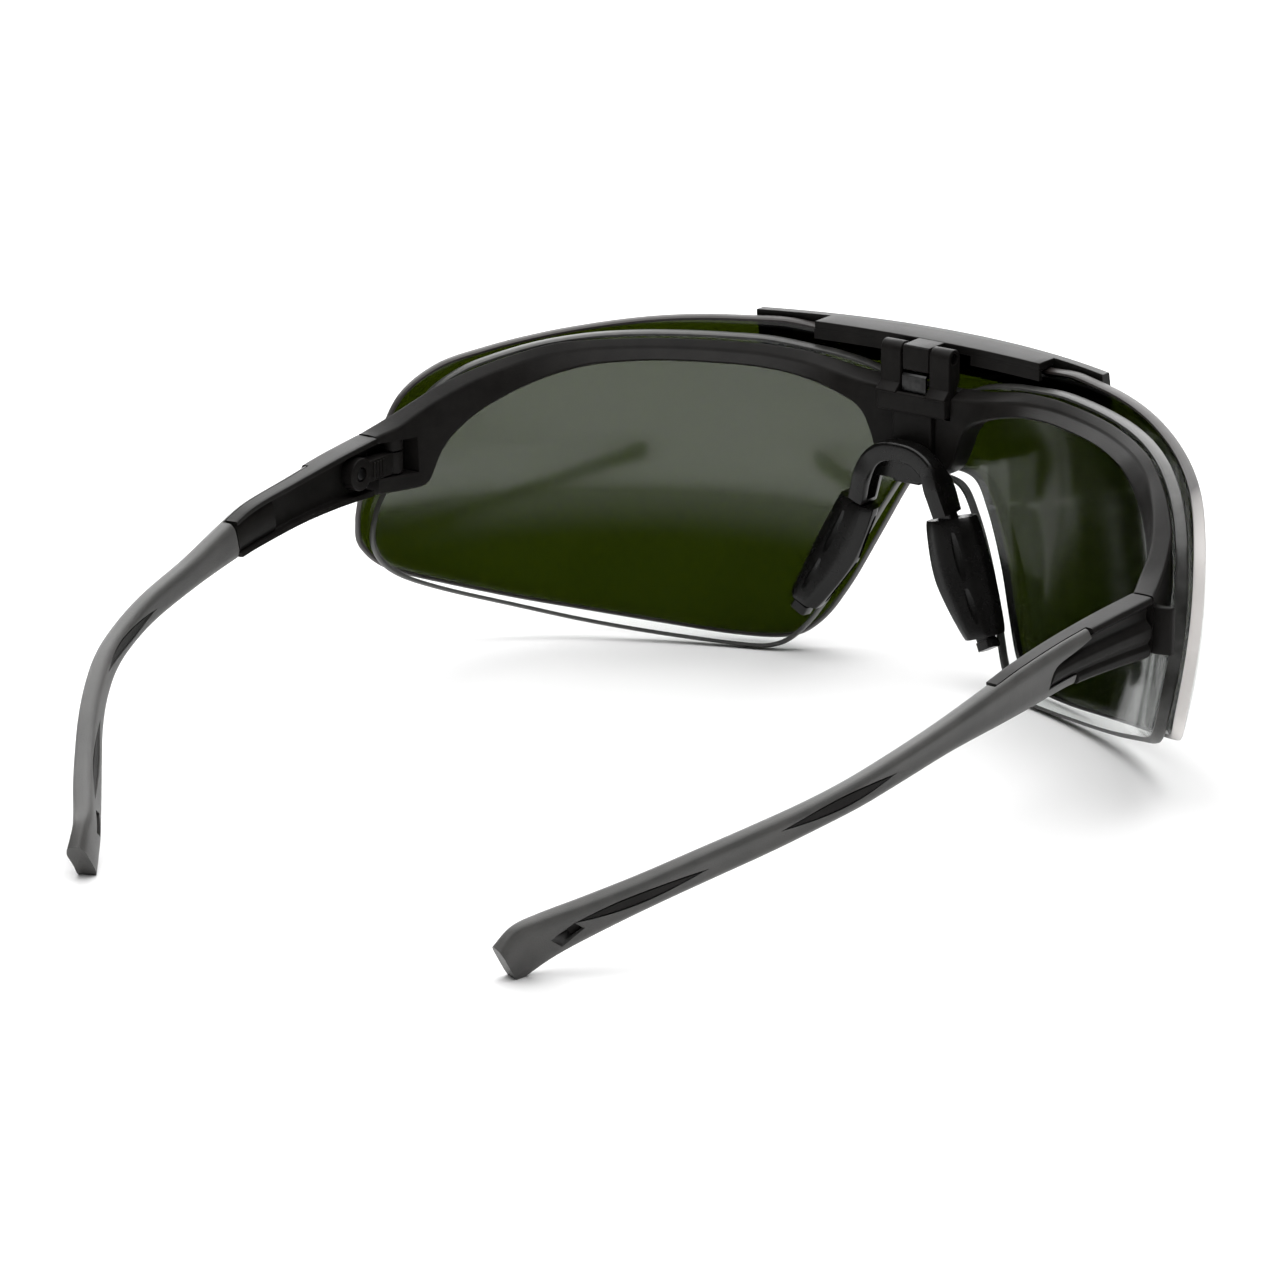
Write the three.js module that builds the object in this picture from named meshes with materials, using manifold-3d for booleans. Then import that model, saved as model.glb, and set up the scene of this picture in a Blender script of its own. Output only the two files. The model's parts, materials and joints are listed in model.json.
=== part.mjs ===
// Flip-up safety spectacles: a half frame with a clear lens, a dark shade lens that flips up
// in front of it, and two temples that fold and tilt.
//
// Units are millimetres and +Z is up. The wearer looks along -Y and the wearer's left is +X.
// The shapes are drawn from a datum in the middle of the frame, level with the tops of the two
// temple seams. The finished group is moved so that z = 0 is the surface it lies on and the
// middle of its bounding box is above the origin.
import * as THREE from "three";
import { mergeVertices } from "three/addons/utils/BufferGeometryUtils.js";
import Module from "manifold-3d";

const wasm = await Module();
wasm.setup();

// ---------------------------------------------------------------- driving dimensions
const FLOOR_Z = -35.6; // the surface the spectacles lie on, below the datum
const MIDDLE_Y = 28.2; // middle of the bounding box, behind the datum
const GAP = 0.3; // between pieces that touch

// Both lenses are patches of concentric spheres. The shade lens is squeezed a little sideways,
// so that its ends wrap closer to the clear lens than its middle does.
const SPHERE = new THREE.Vector3(0, 33.74, -0.87);
const CLEAR_IN = 83.3;
const CLEAR_OUT = 85.2;
const SHADE_IN = 87.3;
const SHADE_OUT = 89.1;
const SHADE_SQUEEZE = 0.98;

// The flip hinge across the bridge.
const FLIP = { y: -46.0, z: 14.8, earRadius: 1.5, pinRadius: 0.6, tabHalf: 2.4, earHalf: 6.4 };

const EAR_FOOT_REAR = -43.1;

// The pocket in the brow for the bridge block, and the stem and stud of the block.
const POCKET = { front: -46.2, ahead: -60, behind: -30, top: 20, sill: 8.3, step: 5.3, low: -8 };
const STEM = { half: 3.6, rear: -43.8, low: -3 };
const STUD = { z: 3, radius: 1, front: -48.4 };

// The cap of the lens carrier: a plate over the top of the shade lens with a lip behind it.
const CAP = { half: 21, low: 14.9, high: 16.2, lipLow: 13.4, rearMiddle: -49.0, rearEnd: -47.5,
  front: 90.2 };

// The vertical fold hinge and the cross-wise tilt pivot of the left temple.
const FOLD = { x: 70.0, y: -4.0, pinRadius: 0.85, barrelRadius: 1.6, low: -6.3, high: -2.9 };
const KNUCKLE_TOP = -1; // underside of the frame above the fold hinge
const HOUSING = { xIn: 60, xOut: 80, front: -6.9, frontWall: 70.8, seam: 0 };
const TILT = { y: 5.0, z: -4.6, pinRadius: 0.9, armRadius: 2.6, xIn: 69.0, xOut: 71.1,
  holeEnd: 72.4 };

// Half outlines of the lenses as seen from the front, [x, z] from the middle to the end.
const SHADE_TOP = [[0, 14.6], [6, 14.6], [11, 14.6], [16, 14.6], [21, 14.6], [27, 15.3],
  [33, 15.2], [40, 15.0], [47, 14.4], [54, 13.3], [60.5, 11.9], [66.5, 10.1], [71.4, 7.9],
  [75, 3.4], [76.9, -4], [77.7, -9]];
const SHADE_BOTTOM = [[0, -5.3], [5.2, -6.2], [8.2, -10.5], [12, -18.2], [15.6, -26],
  [19, -31.4], [23.5, -34.1], [32, -34.4], [42, -33.3], [52, -31.5], [61, -29.2],
  [68.8, -26.2], [74.1, -23.2], [76.9, -19.4], [77.7, -15.5], [77.8, -12.2]];
const CLEAR_TOP = [[0, 9], [6, 9], [10.5, 10.6], [16, 11.8], [21, 12.4], [27, 13.1],
  [33, 13.2], [40, 13.2], [46.5, 13.0], [52, 12.5], [57.5, 11.4], [62.5, 9.6], [66, 7.7],
  [69.2, 4.2], [71.1, -1.5], [71.8, -6]];
const CLEAR_BOTTOM = [[0, -5.6], [5, -6.6], [8.2, -11], [12.1, -18.6], [15.7, -26.4],
  [18.9, -31.8], [22.6, -34.5], [29, -34.8], [40, -33.8], [50, -31.9], [59.5, -28.9],
  [66.2, -26], [70.5, -22.9], [72.7, -18.8], [73.1, -14], [72.5, -10]];

// The brow bar: heights and radii against the angle round the lens sphere, in degrees.
const BROW_TOP = [[0, 9.4], [7, 10.1], [15, 12], [21, 12.5], [29, 12.6], [37, 12.3], [42, 11.8],
  [46.4, 10.4], [50.8, 8.5], [55.3, 6], [60, 2.9], [62.6, 1.4], [65.4, 0]];
const BROW_FRONT = [[0, 83], [55, 83], [57.7, 82.6], [60.1, 82.1], [62.6, 81.6], [65.4, 81.05]];
const BROW_REAR_TOP = [[0, 8.4], [7, 9], [15, 10.7], [21, 11.3], [30, 11.5], [38, 11.2],
  [43.5, 10.2], [49, 8.2], [53.7, 5.8], [56, 4.4], [58.6, 2.8], [61.3, 1.1], [64.3, 0]];
const BROW_REAR = [[0, 79], [6, 79.3], [10, 79.9], [17, 81], [22, 81.2], [44, 81.2],
  [49, 80.7], [53.6, 80.1], [56, 79.7], [58.6, 79], [61.3, 78.1], [64.3, 77.7]];
const BROW_LOW = [[0, -4.6], [3, -4.2], [4.6, -2.8], [5.5, -0.6], [6.1, 1.8], [6.9, 4], [8.1, 5.5],
  [10, 6.6], [12.4, 7.7], [17, 9], [21.7, 9.5], [30, 9.6], [37.5, 9], [42, 7.7], [46.7, 5.3],
  [49.1, 3.7], [51.5, 1.8], [53.8, -0.6], [55.6, -3.4], [56.6, -6], [57.3, -8.3], [58.4, -9.1],
  [61, -9.2], [65, -9.2]];
const BROW_INNER = [[0, 78.2], [8, 78.5], [17, 79.2], [44, 79.3], [57, 79], [61, 78.2], [64.3, 77.7]];
const BROW_TURNS = [0, 3, 4.6, 5.5, 6.1, 6.9, 8.1, 10, 12.4, 16, 21, 26, 31, 36, 40, 43.5, 46.7,
  49.1, 51.5, 53.8, 55.2, 56.2, 56.9, 57.5, 58.6, 60.5, 62.5, 64.1, 65.6];

// The left temple: top and bottom rails through the middle of its thickness, and half widths.
const RAIL_TOP = [[71.9, 0.3, 0], [71.5, 10, -0.8], [71, 20.5, -2], [70.9, 30.5, -3.4],
  [70.4, 37, -5], [69.1, 48, -8], [67.9, 58.8, -10.4], [66.2, 67, -12.5], [63.8, 74.5, -14.5],
  [60.2, 81.5, -16.7], [55.6, 89, -19.4], [50.8, 95.8, -22.2], [46, 102, -24.6],
  [41.6, 107.2, -26.6], [39.5, 110.4, -27.9], [38.4, 113, -30.5]];
const RAIL_BOTTOM = [[71.9, 1.2, -9.2], [71.5, 10, -8.9], [71, 19.5, -9.1], [70.8, 29, -10.1],
  [70.4, 35.5, -10.9], [69.3, 46.3, -12.4], [68.1, 57.2, -14.5], [66.6, 65, -16.4],
  [64.1, 72.2, -18.3], [60.6, 79.1, -20.7], [56.2, 85.6, -23.3], [51, 92.2, -26.4],
  [46.3, 98.2, -29.5], [42.2, 103.6, -32.6], [39.8, 106.8, -35], [38.5, 108.9, -36.4]];
const RAIL_WIDTH = [2.1, 2.05, 1.85, 1.75, 1.65, 1.55, 1.5, 1.5, 1.5, 1.5, 1.5, 1.55, 1.6,
  1.6, 1.4, 1.55];
const GRIP_START = 4; // rail station where the soft grip takes over the whole section

// ---------------------------------------------------------------- small tools
const vec = (x, y, z) => new THREE.Vector3(x, y, z);

const railCurve = (rail) => new THREE.CatmullRomCurve3(rail.map(([x, y, z]) => vec(x, y, z)),
  false, "centripetal");

/** Smooth curve without overshoot through [t, value] pairs, read at t. */
function through(table, t) {
  const last = table.length - 1;
  if (t <= table[0][0]) return table[0][1];
  if (t >= table[last][0]) return table[last][1];
  const i = table.findIndex((row) => row[0] > t) - 1;
  const rise = (k) => (table[k + 1][1] - table[k][1]) / (table[k + 1][0] - table[k][0]);
  const slope = (k) => {
    if (k === 0 || k === last) return rise(Math.min(k, last - 1));
    const [a, b] = [rise(k - 1), rise(k)];
    return a * b <= 0 ? 0 : (2 * a * b) / (a + b);
  };
  const span = table[i + 1][0] - table[i][0];
  const s = (t - table[i][0]) / span;
  const [s2, s3] = [s * s, s * s * s];
  return table[i][1] * (2 * s3 - 3 * s2 + 1) + slope(i) * span * (s3 - 2 * s2 + s)
    + table[i + 1][1] * (3 * s2 - 2 * s3) + slope(i + 1) * span * (s3 - s2);
}

/** Direction square to a ring of points, which lies nearly in one plane. */
function ringNormal(ring) {
  const normal = vec(0, 0, 0);
  ring.forEach((p, i) => normal.add(p.clone().cross(ring[(i + 1) % ring.length])));
  return normal.normalize();
}

/** Triangles that close a ring, all turned along the ring's own normal or against it. */
function capFaces(ring, along) {
  const normal = ringNormal(ring);
  const side = ring[0].clone().sub(ring[ring.length >> 1]).projectOnPlane(normal).normalize();
  const up = normal.clone().cross(side);
  const flat = ring.map((p) => new THREE.Vector2(p.dot(side), p.dot(up)));
  return THREE.ShapeUtils.triangulateShape(flat, []).map(([a, b, c]) => {
    const turn = flat[b].clone().sub(flat[a]).cross(flat[c].clone().sub(flat[a]));
    return turn > 0 === along ? [a, b, c] : [a, c, b];
  });
}

/** Closed surface stretched over rings that all hold the same number of points. */
function skin(rings) {
  const count = rings[0].length;
  const faces = [];
  for (let i = 0; i + 1 < rings.length; i++) {
    for (let j = 0; j < count; j++) {
      const a = i * count + j;
      const b = i * count + ((j + 1) % count);
      faces.push([a, b, b + count], [a, b + count, a + count]);
    }
  }
  const lastRing = (rings.length - 1) * count;
  faces.push(...capFaces(rings[0], false));
  faces.push(...capFaces(rings.at(-1), true).map((face) => face.map((k) => k + lastRing)));
  return closedGeometry(rings.flat(), faces);
}

/** Geometry of a closed body, with its faces turned outwards. */
function closedGeometry(points, faces) {
  const volume = faces.reduce((sum, [a, b, c]) =>
    sum + points[a].dot(points[b].clone().cross(points[c])), 0);
  const index = faces.flatMap(([a, b, c]) => (volume < 0 ? [a, c, b] : [a, b, c]));
  const geometry = new THREE.BufferGeometry().setFromPoints(points);
  geometry.setIndex(index);
  return geometry;
}

/** A closed geometry as a solid that can be joined and cut. */
function solid(geometry) {
  const bare = geometry.clone();
  bare.deleteAttribute("normal");
  bare.deleteAttribute("uv");
  const merged = mergeVertices(bare, 1e-4);
  return new wasm.Manifold(new wasm.Mesh({
    numProp: 3,
    vertProperties: new Float32Array(merged.attributes.position.array),
    triVerts: new Uint32Array(merged.index.array),
  }));
}

/** A solid as geometry for a mesh. */
function geometryOf(body) {
  const mesh = body.getMesh();
  const positions = new Float32Array(mesh.numVert * 3);
  for (let i = 0; i < mesh.numVert; i++) {
    positions.set(mesh.vertProperties.subarray(i * mesh.numProp, i * mesh.numProp + 3), i * 3);
  }
  const geometry = new THREE.BufferGeometry();
  geometry.setAttribute("position", new THREE.BufferAttribute(positions, 3));
  geometry.setIndex(new THREE.BufferAttribute(mesh.triVerts, 1));
  geometry.computeVertexNormals();
  return geometry;
}

const joined = (...bodies) => bodies.reduce((a, b) => a.add(b));
const cut = (body, ...tools) => tools.reduce((a, b) => a.subtract(b), body);

/** Box between two corners. */
function block([x0, y0, z0], [x1, y1, z1]) {
  const box = new THREE.BoxGeometry(x1 - x0, y1 - y0, z1 - z0);
  return solid(box.translate((x0 + x1) / 2, (y0 + y1) / 2, (z0 + z1) / 2));
}

/** Outline drawn in (y, z), extruded along X. */
function alongX(shape, x0, x1) {
  const geometry = new THREE.ExtrudeGeometry(shape,
    { depth: x1 - x0, bevelEnabled: false, curveSegments: 8 });
  geometry.applyMatrix4(new THREE.Matrix4().makeBasis(vec(0, 1, 0), vec(0, 0, 1), vec(1, 0, 0)));
  return solid(geometry.translate(x0, 0, 0));
}

/** Outline drawn in (x, y), extruded along Z. */
function alongZ(shape, z0, z1) {
  const geometry = new THREE.ExtrudeGeometry(shape,
    { depth: z1 - z0, bevelEnabled: false, curveSegments: 8 });
  return solid(geometry.translate(0, 0, z0));
}

const polygon = (points) => new THREE.Shape(points.map(([a, b]) => new THREE.Vector2(a, b)));

function disc(a, b, radius) {
  const shape = new THREE.Shape();
  shape.absarc(a, b, radius, 0, 2 * Math.PI);
  return shape;
}

// ---------------------------------------------------------------- lenses
/** Point of the lens sphere of a radius, seen from the front at (x, z). */
function onSphere(radius, x, z) {
  const depth = Math.sqrt(radius ** 2 - x ** 2 - (z - SPHERE.z) ** 2);
  return vec(x, SPHERE.y - depth, z);
}

/** Lens between two concentric spheres and two outlines, with edges square to the spheres. */
function lens(radiusIn, radiusOut, top, bottom, squeeze = 1) {
  const asCurve = (outline) => new THREE.SplineCurve(outline.map(([x, z]) => new THREE.Vector2(x, z)));
  const [topCurve, bottomCurve] = [asCurve(top), asCurve(bottom)];
  const steps = top.length - 1;
  const rows = 7;
  const rings = [];
  for (let i = -steps; i <= steps; i++) {
    const high = topCurve.getPoint(Math.abs(i) / steps);
    const low = bottomCurve.getPoint(Math.abs(i) / steps);
    const inner = [];
    for (let k = 0; k <= rows; k++) {
      const at = high.clone().lerp(low, k / rows);
      inner.push(onSphere(radiusIn, Math.sign(i) * at.x, at.y));
    }
    const grow = radiusOut / radiusIn;
    const outer = inner.map((p) => p.clone().sub(SPHERE).multiplyScalar(grow).add(SPHERE));
    rings.push([...inner, ...outer.reverse()].map((p) => p.setX(p.x * squeeze)));
  }
  return solid(skin(rings));
}

// ---------------------------------------------------------------- front frame
/** Point at an angle round the lens centre, a radius from it and a height. */
function aroundLens(turn, radius, z) {
  const reach = Math.sqrt(radius ** 2 - (z - SPHERE.z) ** 2);
  const angle = THREE.MathUtils.degToRad(turn);
  return vec(reach * Math.sin(angle), SPHERE.y - reach * Math.cos(angle), z);
}

/** Section of the brow bar at an angle: front, top edge, rear face and underside. */
function browSection(turn) {
  const t = Math.abs(turn);
  const side = Math.sign(turn) || 1;
  const at = (radius, z) => {
    const p = aroundLens(t, radius, z);
    return vec(side * p.x, p.y, p.z);
  };
  const front = through(BROW_FRONT, t);
  const top = through(BROW_TOP, t);
  const rear = through(BROW_REAR, t);
  const rearTop = through(BROW_REAR_TOP, t);
  const inner = through(BROW_INNER, t);
  const low = through(BROW_LOW, t);
  return [at(front, low), at(front, top - 0.3), at(front - 0.3, top), at(rear + 0.3, rearTop + 0.1),
    at(rear, rearTop - 0.3), at(inner, low + 0.4), at(inner + 0.4, low)];
}

function frontFrame() {
  const half = BROW_TURNS.map(browSection);
  const other = BROW_TURNS.slice(1).map((turn) => browSection(-turn)).reverse();
  const brow = solid(skin([...other, ...half]));
  const { front, behind, top } = POCKET;
  const earHalf = FLIP.earHalf + GAP;
  const stemHalf = STEM.half + GAP;
  const notches = [
    block([-earHalf, POCKET.ahead, POCKET.sill], [earHalf, behind, top]),
    block([-earHalf, front, POCKET.step], [earHalf, behind, top]),
    block([-stemHalf, front, POCKET.low], [stemHalf, behind, POCKET.step + 0.7]),
  ];
  const studHole = alongMinusY(disc(0, STUD.z, STUD.radius + GAP), front + 1, STUD.front - 0.6);
  let frame = cut(brow, ...notches, studHole);
  for (const side of [-1, 1]) {
    const span = (a, b) => [side * a, side * b].sort((low, high) => low - high);
    const [near, far] = span(HOUSING.xIn, HOUSING.xOut);
    const seam = block([near, HOUSING.seam, -12], [far, 10, 5]);
    const roomRadius = FOLD.barrelRadius + GAP;
    const [inner, outer] = span(HOUSING.xIn, FOLD.x + roomRadius);
    const [windowIn, windowOut] = span(HOUSING.xIn, HOUSING.frontWall);
    const room = joined(
      block([inner, FOLD.y, FOLD.low - GAP], [outer, 2, KNUCKLE_TOP]),
      block([windowIn, HOUSING.front, FOLD.low - GAP], [windowOut, 2, KNUCKLE_TOP]),
      alongZ(disc(side * FOLD.x, FOLD.y, roomRadius), FOLD.low - GAP, KNUCKLE_TOP));
    const knuckle = alongZ(disc(side * FOLD.x, FOLD.y, FOLD.barrelRadius), FOLD.high + GAP,
      KNUCKLE_TOP + 0.2);
    const pinHole = alongZ(disc(side * FOLD.x, FOLD.y, FOLD.pinRadius + GAP), -20, KNUCKLE_TOP);
    frame = cut(joined(cut(joined(frame, endHook(side)), seam, room), knuckle), pinHole);
  }
  return frame;
}

/** Outline drawn in (x, z), extruded towards the front from yRear to yFront. */
function alongMinusY(shape, yRear, yFront) {
  const geometry = new THREE.ExtrudeGeometry(shape,
    { depth: yRear - yFront, bevelEnabled: false, curveSegments: 8 });
  geometry.applyMatrix4(new THREE.Matrix4().makeBasis(vec(1, 0, 0), vec(0, 0, 1), vec(0, -1, 0)));
  return solid(geometry.translate(0, yRear, 0));
}

/** Lug at each end of the frame that stands behind the edge of the clear lens. */
function endHook(side) {
  const outline = polygon([[72, -2.6], [74.2, -1.9], [76.2, -2.2], [76.2, -0.9], [74.2, -0.4],
    [72, -0.4]].map(([x, y]) => [side * x, y]));
  return alongZ(outline, -8.9, -1.6);
}

// ---------------------------------------------------------------- bridge and flip hinge
/** Side view of an ear, [y, z]: a round top about the hinge, a stem and a sloping foot behind it. */
function earOutline(radius, foot) {
  const shape = new THREE.Shape();
  const front = FLIP.y - radius;
  shape.moveTo(front + 0.8, foot);
  shape.lineTo(EAR_FOOT_REAR, foot);
  shape.lineTo(EAR_FOOT_REAR, foot + 0.3);
  shape.lineTo(FLIP.y + radius, foot + 1.5);
  shape.lineTo(FLIP.y + radius, FLIP.z);
  shape.absarc(FLIP.y, FLIP.z, radius, 0, Math.PI);
  shape.lineTo(front, 11);
  shape.lineTo(front + 0.8, 9.8);
  return shape;
}

function bridgeBlock() {
  const { earHalf, tabHalf, earRadius, pinRadius } = FLIP;
  const front = POCKET.front + GAP;
  const foot = POCKET.step + GAP;
  const plate = joined(block([-earHalf, front, foot], [earHalf, -43.4, 8.8]),
    block([-STEM.half, front, STEM.low], [STEM.half, STEM.rear, foot + 0.1]));
  const ear = (x0, x1) => alongX(earOutline(earRadius, 8.6), x0, x1);
  const stud = alongMinusY(disc(0, STUD.z, STUD.radius), front + 0.2, STUD.front);
  const body = joined(plate, ear(-earHalf, -tabHalf - GAP), ear(tabHalf + GAP, earHalf), stud);
  const well = block([-tabHalf - GAP, -45.5, 7.4], [tabHalf + GAP, -44, 20]);
  return cut(body, well, alongX(disc(FLIP.y, FLIP.z, pinRadius + GAP), -10, 10));
}

/** Leaf that stands in the well and clicks against the underside of the knuckle. */
function detentSpring() {
  const strip = [[-47, 11.7], [-44.6, 11.7], [-44.3, 11.4], [-44.3, 8.2], [-45.2, 8.2],
    [-45.2, 8.6], [-44.8, 8.7], [-44.8, 11.1], [-44.9, 11.2], [-47, 11.3]];
  return alongX(polygon(strip), -FLIP.tabHalf + 0.2, FLIP.tabHalf - 0.2);
}

const flipPin = () => alongX(disc(FLIP.y, FLIP.z, FLIP.pinRadius), -FLIP.earHalf + 0.2,
  FLIP.earHalf - 0.2);

/** Curved strip in front of the shade lens, from one side of the middle to the other. */
function carrierStrip(radiusIn, radiusOut, low, high, reach) {
  const rings = [];
  const steps = 7;
  for (let i = -steps; i <= steps; i++) {
    const x = (reach * i) / steps;
    rings.push([onSphere(radiusIn, x, low), onSphere(radiusIn, x, high),
      onSphere(radiusOut, x, high), onSphere(radiusOut, x, low)]);
  }
  return solid(skin(rings));
}

/** Outline of the cap, (x, y): its rear edge is flatter than its front edge. */
function capOutline() {
  const shape = new THREE.Shape();
  const { half, rearMiddle, rearEnd, front } = CAP;
  shape.moveTo(-half, rearEnd);
  shape.quadraticCurveTo(0, 2 * rearMiddle - rearEnd, half, rearEnd);
  const steps = 10;
  for (let i = 0; i <= steps; i++) {
    const p = onSphere(front, half * (1 - (2 * i) / steps), CAP.high);
    shape.lineTo(p.x, p.y);
  }
  return shape;
}

function lensCarrier() {
  const { earHalf, tabHalf, pinRadius, earRadius } = FLIP;
  const front = carrierStrip(SHADE_OUT + GAP, 91.2, 9.6, CAP.high, 32.3);
  const cap = alongZ(capOutline(), CAP.low, CAP.high);
  const lip = cut(alongZ(capOutline(), CAP.lipLow, CAP.low + 0.1),
    lens(SHADE_IN - 1.2, SHADE_OUT + 9, SHADE_TOP.map(([x]) => [x, 20]), SHADE_BOTTOM),
    block([-earHalf - 1, -60, 10], [earHalf + 1, -40, CAP.low]));
  const knuckle = polygon([[-53, 12.3], [-48, 12.3], [-47.2, 12.1], [-44.9, 12.1], [-44.7, 12.3],
    [-44.7, 15.8], [-45, 16.1], [-53, CAP.high]]);
  const tab = alongX(knuckle, -tabHalf, tabHalf);
  const earRoom = (x0, x1) => alongX(disc(FLIP.y, FLIP.z, earRadius + 0.4), x0, x1);
  const raised = SHADE_TOP.map(([x, z]) => [x, z + GAP]);
  const shadeRoom = lens(SHADE_IN - GAP, SHADE_OUT + GAP, raised, SHADE_BOTTOM, SHADE_SQUEEZE);
  return cut(joined(front, cap, lip, tab), shadeRoom, earRoom(-earHalf - GAP, -tabHalf),
    earRoom(tabHalf, earHalf + GAP), alongX(disc(FLIP.y, FLIP.z, pinRadius + GAP), -10, 10));
}

// ---------------------------------------------------------------- nose piece
// Left half of the arch, from the middle of its top to the tip of the stub below the pad.
const NOSE_ARM = [[0, -41.1, 0.3], [3, -41.1, -0.1], [5.4, -41.2, -1.9], [6.8, -41.7, -5],
  [8.1, -42.1, -9], [10.3, -41.9, -13.5], [12.2, -41.1, -18], [14.5, -40.4, -22.3],
  [16.6, -39.9, -25.7], [17.8, -39.6, -27.9]];
const ARCH = railCurve([...NOSE_ARM.slice(1).map(([x, y, z]) => [-x, y, z]).reverse(), ...NOSE_ARM]);

// Half sizes of the arch against the share of its half length, and where the pad holds it.
const ARM_HALF_WIDE = 1.5;
const ARM_HALF_DEEP = [[0, 1.5], [0.2, 1.6], [0.33, 2.5], [0.44, 2.3]];
const HELD = { from: 0.436, to: 0.925, halfWide: 1.3, halfDeep: 1.1, stubHalf: 1.4 };
const ARM_SHARES = [0, 0.06, 0.12, 0.18, 0.24, 0.3, 0.37, HELD.from, HELD.from + 0.005, 0.55, 0.65,
  0.75, 0.85, HELD.to, HELD.to + 0.005, 1];

// Edges of the left pad from top to bottom: next to the lens, and against the nose.
const PAD_OUTER = [[12.2, -43.2, -8.4], [16.4, -41.9, -17.2], [19.6, -40.2, -25.2]];
const PAD_INNER = [[4.8, -41.6, -10], [7.8, -40.2, -18.8], [13.9, -39.4, -27]];
const PAD_HALF_DEEP = 2.2;
const PAD_SECTION = [[-1, -0.3], [-0.7, -0.9], [0.6, -1], [1, -0.6], [1, 0.4], [0.6, 0.9],
  [-0.5, 1], [-1, 0.5]];

/**
 * Ring of a bevelled rectangle across the arch. The share runs from its top to an end; low and
 * high are its corners, [away from the nose, towards the rear].
 */
function armSection(share, low, high) {
  const t = 0.5 + share / 2;
  const at = ARCH.getPoint(t);
  const along = ARCH.getTangent(t);
  const deep = vec(0, 1, 0).addScaledVector(along, -along.y).normalize();
  const wide = along.clone().cross(deep);
  const bevel = 0.3;
  const outline = [[low[0], low[1] + bevel], [low[0] + bevel, low[1]], [high[0] - bevel, low[1]],
    [high[0], low[1] + bevel], [high[0], high[1] - bevel], [high[0] - bevel, high[1]],
    [low[0] + bevel, high[1]], [low[0], high[1] - bevel]];
  return outline.map(([w, d]) => at.clone().addScaledVector(wide, w).addScaledVector(deep, d));
}

/** Half width and half depth of the arch at a share of its half length. */
function armHalves(share) {
  if (share > HELD.to) return [HELD.stubHalf, HELD.stubHalf];
  if (share > HELD.from) return [HELD.halfWide, HELD.halfDeep];
  return [ARM_HALF_WIDE, through(ARM_HALF_DEEP, share)];
}

function nosePiece() {
  const shares = [...ARM_SHARES.slice(1).map((share) => -share).reverse(), ...ARM_SHARES];
  const bare = shares.filter((share) => Math.abs(share) < HELD.from);
  const arch = skin(shares.map((share) => {
    const [w, d] = armHalves(Math.abs(share));
    return armSection(share, [-w, -d], [w, d]);
  }));
  const groove = skin(bare.map((share) => {
    const [w, d] = armHalves(Math.abs(share));
    return armSection(share, [-w - 1, -d / 2], [0.2, d / 2]);
  }));
  const web = alongMinusY(polygon([[-6, -4.6], [6, -4.6], [4.4, -1.2], [0, 0.8], [-4.4, -1.2]]),
    -42.0, -42.8);
  const key = block([-2.4, -44.6, -5.2], [2.4, -42.5, -3.4]);
  return joined(cut(solid(arch), solid(groove)), web, key);
}

function nosePad() {
  const outer = railCurve(PAD_OUTER);
  const inner = railCurve(PAD_INNER);
  const steps = 8;
  const rings = [];
  for (let i = 0; i <= steps; i++) {
    const [a, b] = [outer.getPoint(i / steps), inner.getPoint(i / steps)];
    const middle = a.clone().add(b).multiplyScalar(0.5);
    const wide = a.clone().sub(b).multiplyScalar(0.5);
    const full = 1 - 0.06 * Math.pow(Math.abs((2 * i) / steps - 1), 8);
    rings.push(PAD_SECTION.map(([w, d]) => middle.clone().addScaledVector(wide, w * full)
      .add(vec(0, d * PAD_HALF_DEEP * full, 0))));
  }
  const [w, d] = [HELD.halfWide + GAP, HELD.halfDeep + GAP];
  const bore = [0.4, 0.5, 0.6, 0.7, 0.8, 0.9, 1].map((share) => armSection(share, [-w, -d], [w, d]));
  return cut(solid(skin(rings)), solid(skin(bore)));
}

// ---------------------------------------------------------------- temples
const TOP_CURVE = railCurve(RAIL_TOP);
const BOTTOM_CURVE = railCurve(RAIL_BOTTOM);
const STATIONS = RAIL_TOP.length - 1;
const WIDTHS = RAIL_WIDTH.map((width, i) => [i, width]);

/** Ring across the temple at a station; outline holds [across, up] from -1 to 1. */
function templeRing(station, outline) {
  const t = station / STATIONS;
  const top = TOP_CURVE.getPoint(t);
  const bottom = BOTTOM_CURVE.getPoint(t);
  const along = TOP_CURVE.getTangent(t).add(BOTTOM_CURVE.getTangent(t));
  const middle = top.clone().add(bottom).multiplyScalar(0.5);
  const up = top.clone().sub(bottom).multiplyScalar(0.5);
  const out = along.clone().cross(up).normalize().multiplyScalar(through(WIDTHS, station));
  return outline.map(([across, rise]) =>
    middle.clone().addScaledVector(out, across).addScaledVector(up, rise));
}

function templeLoft(from, to, steps, outline) {
  const rings = [];
  for (let i = 0; i <= steps; i++) {
    const station = from + ((to - from) * i) / steps;
    rings.push(templeRing(station, typeof outline === "function" ? outline(station) : outline));
  }
  return solid(skin(rings));
}

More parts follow.
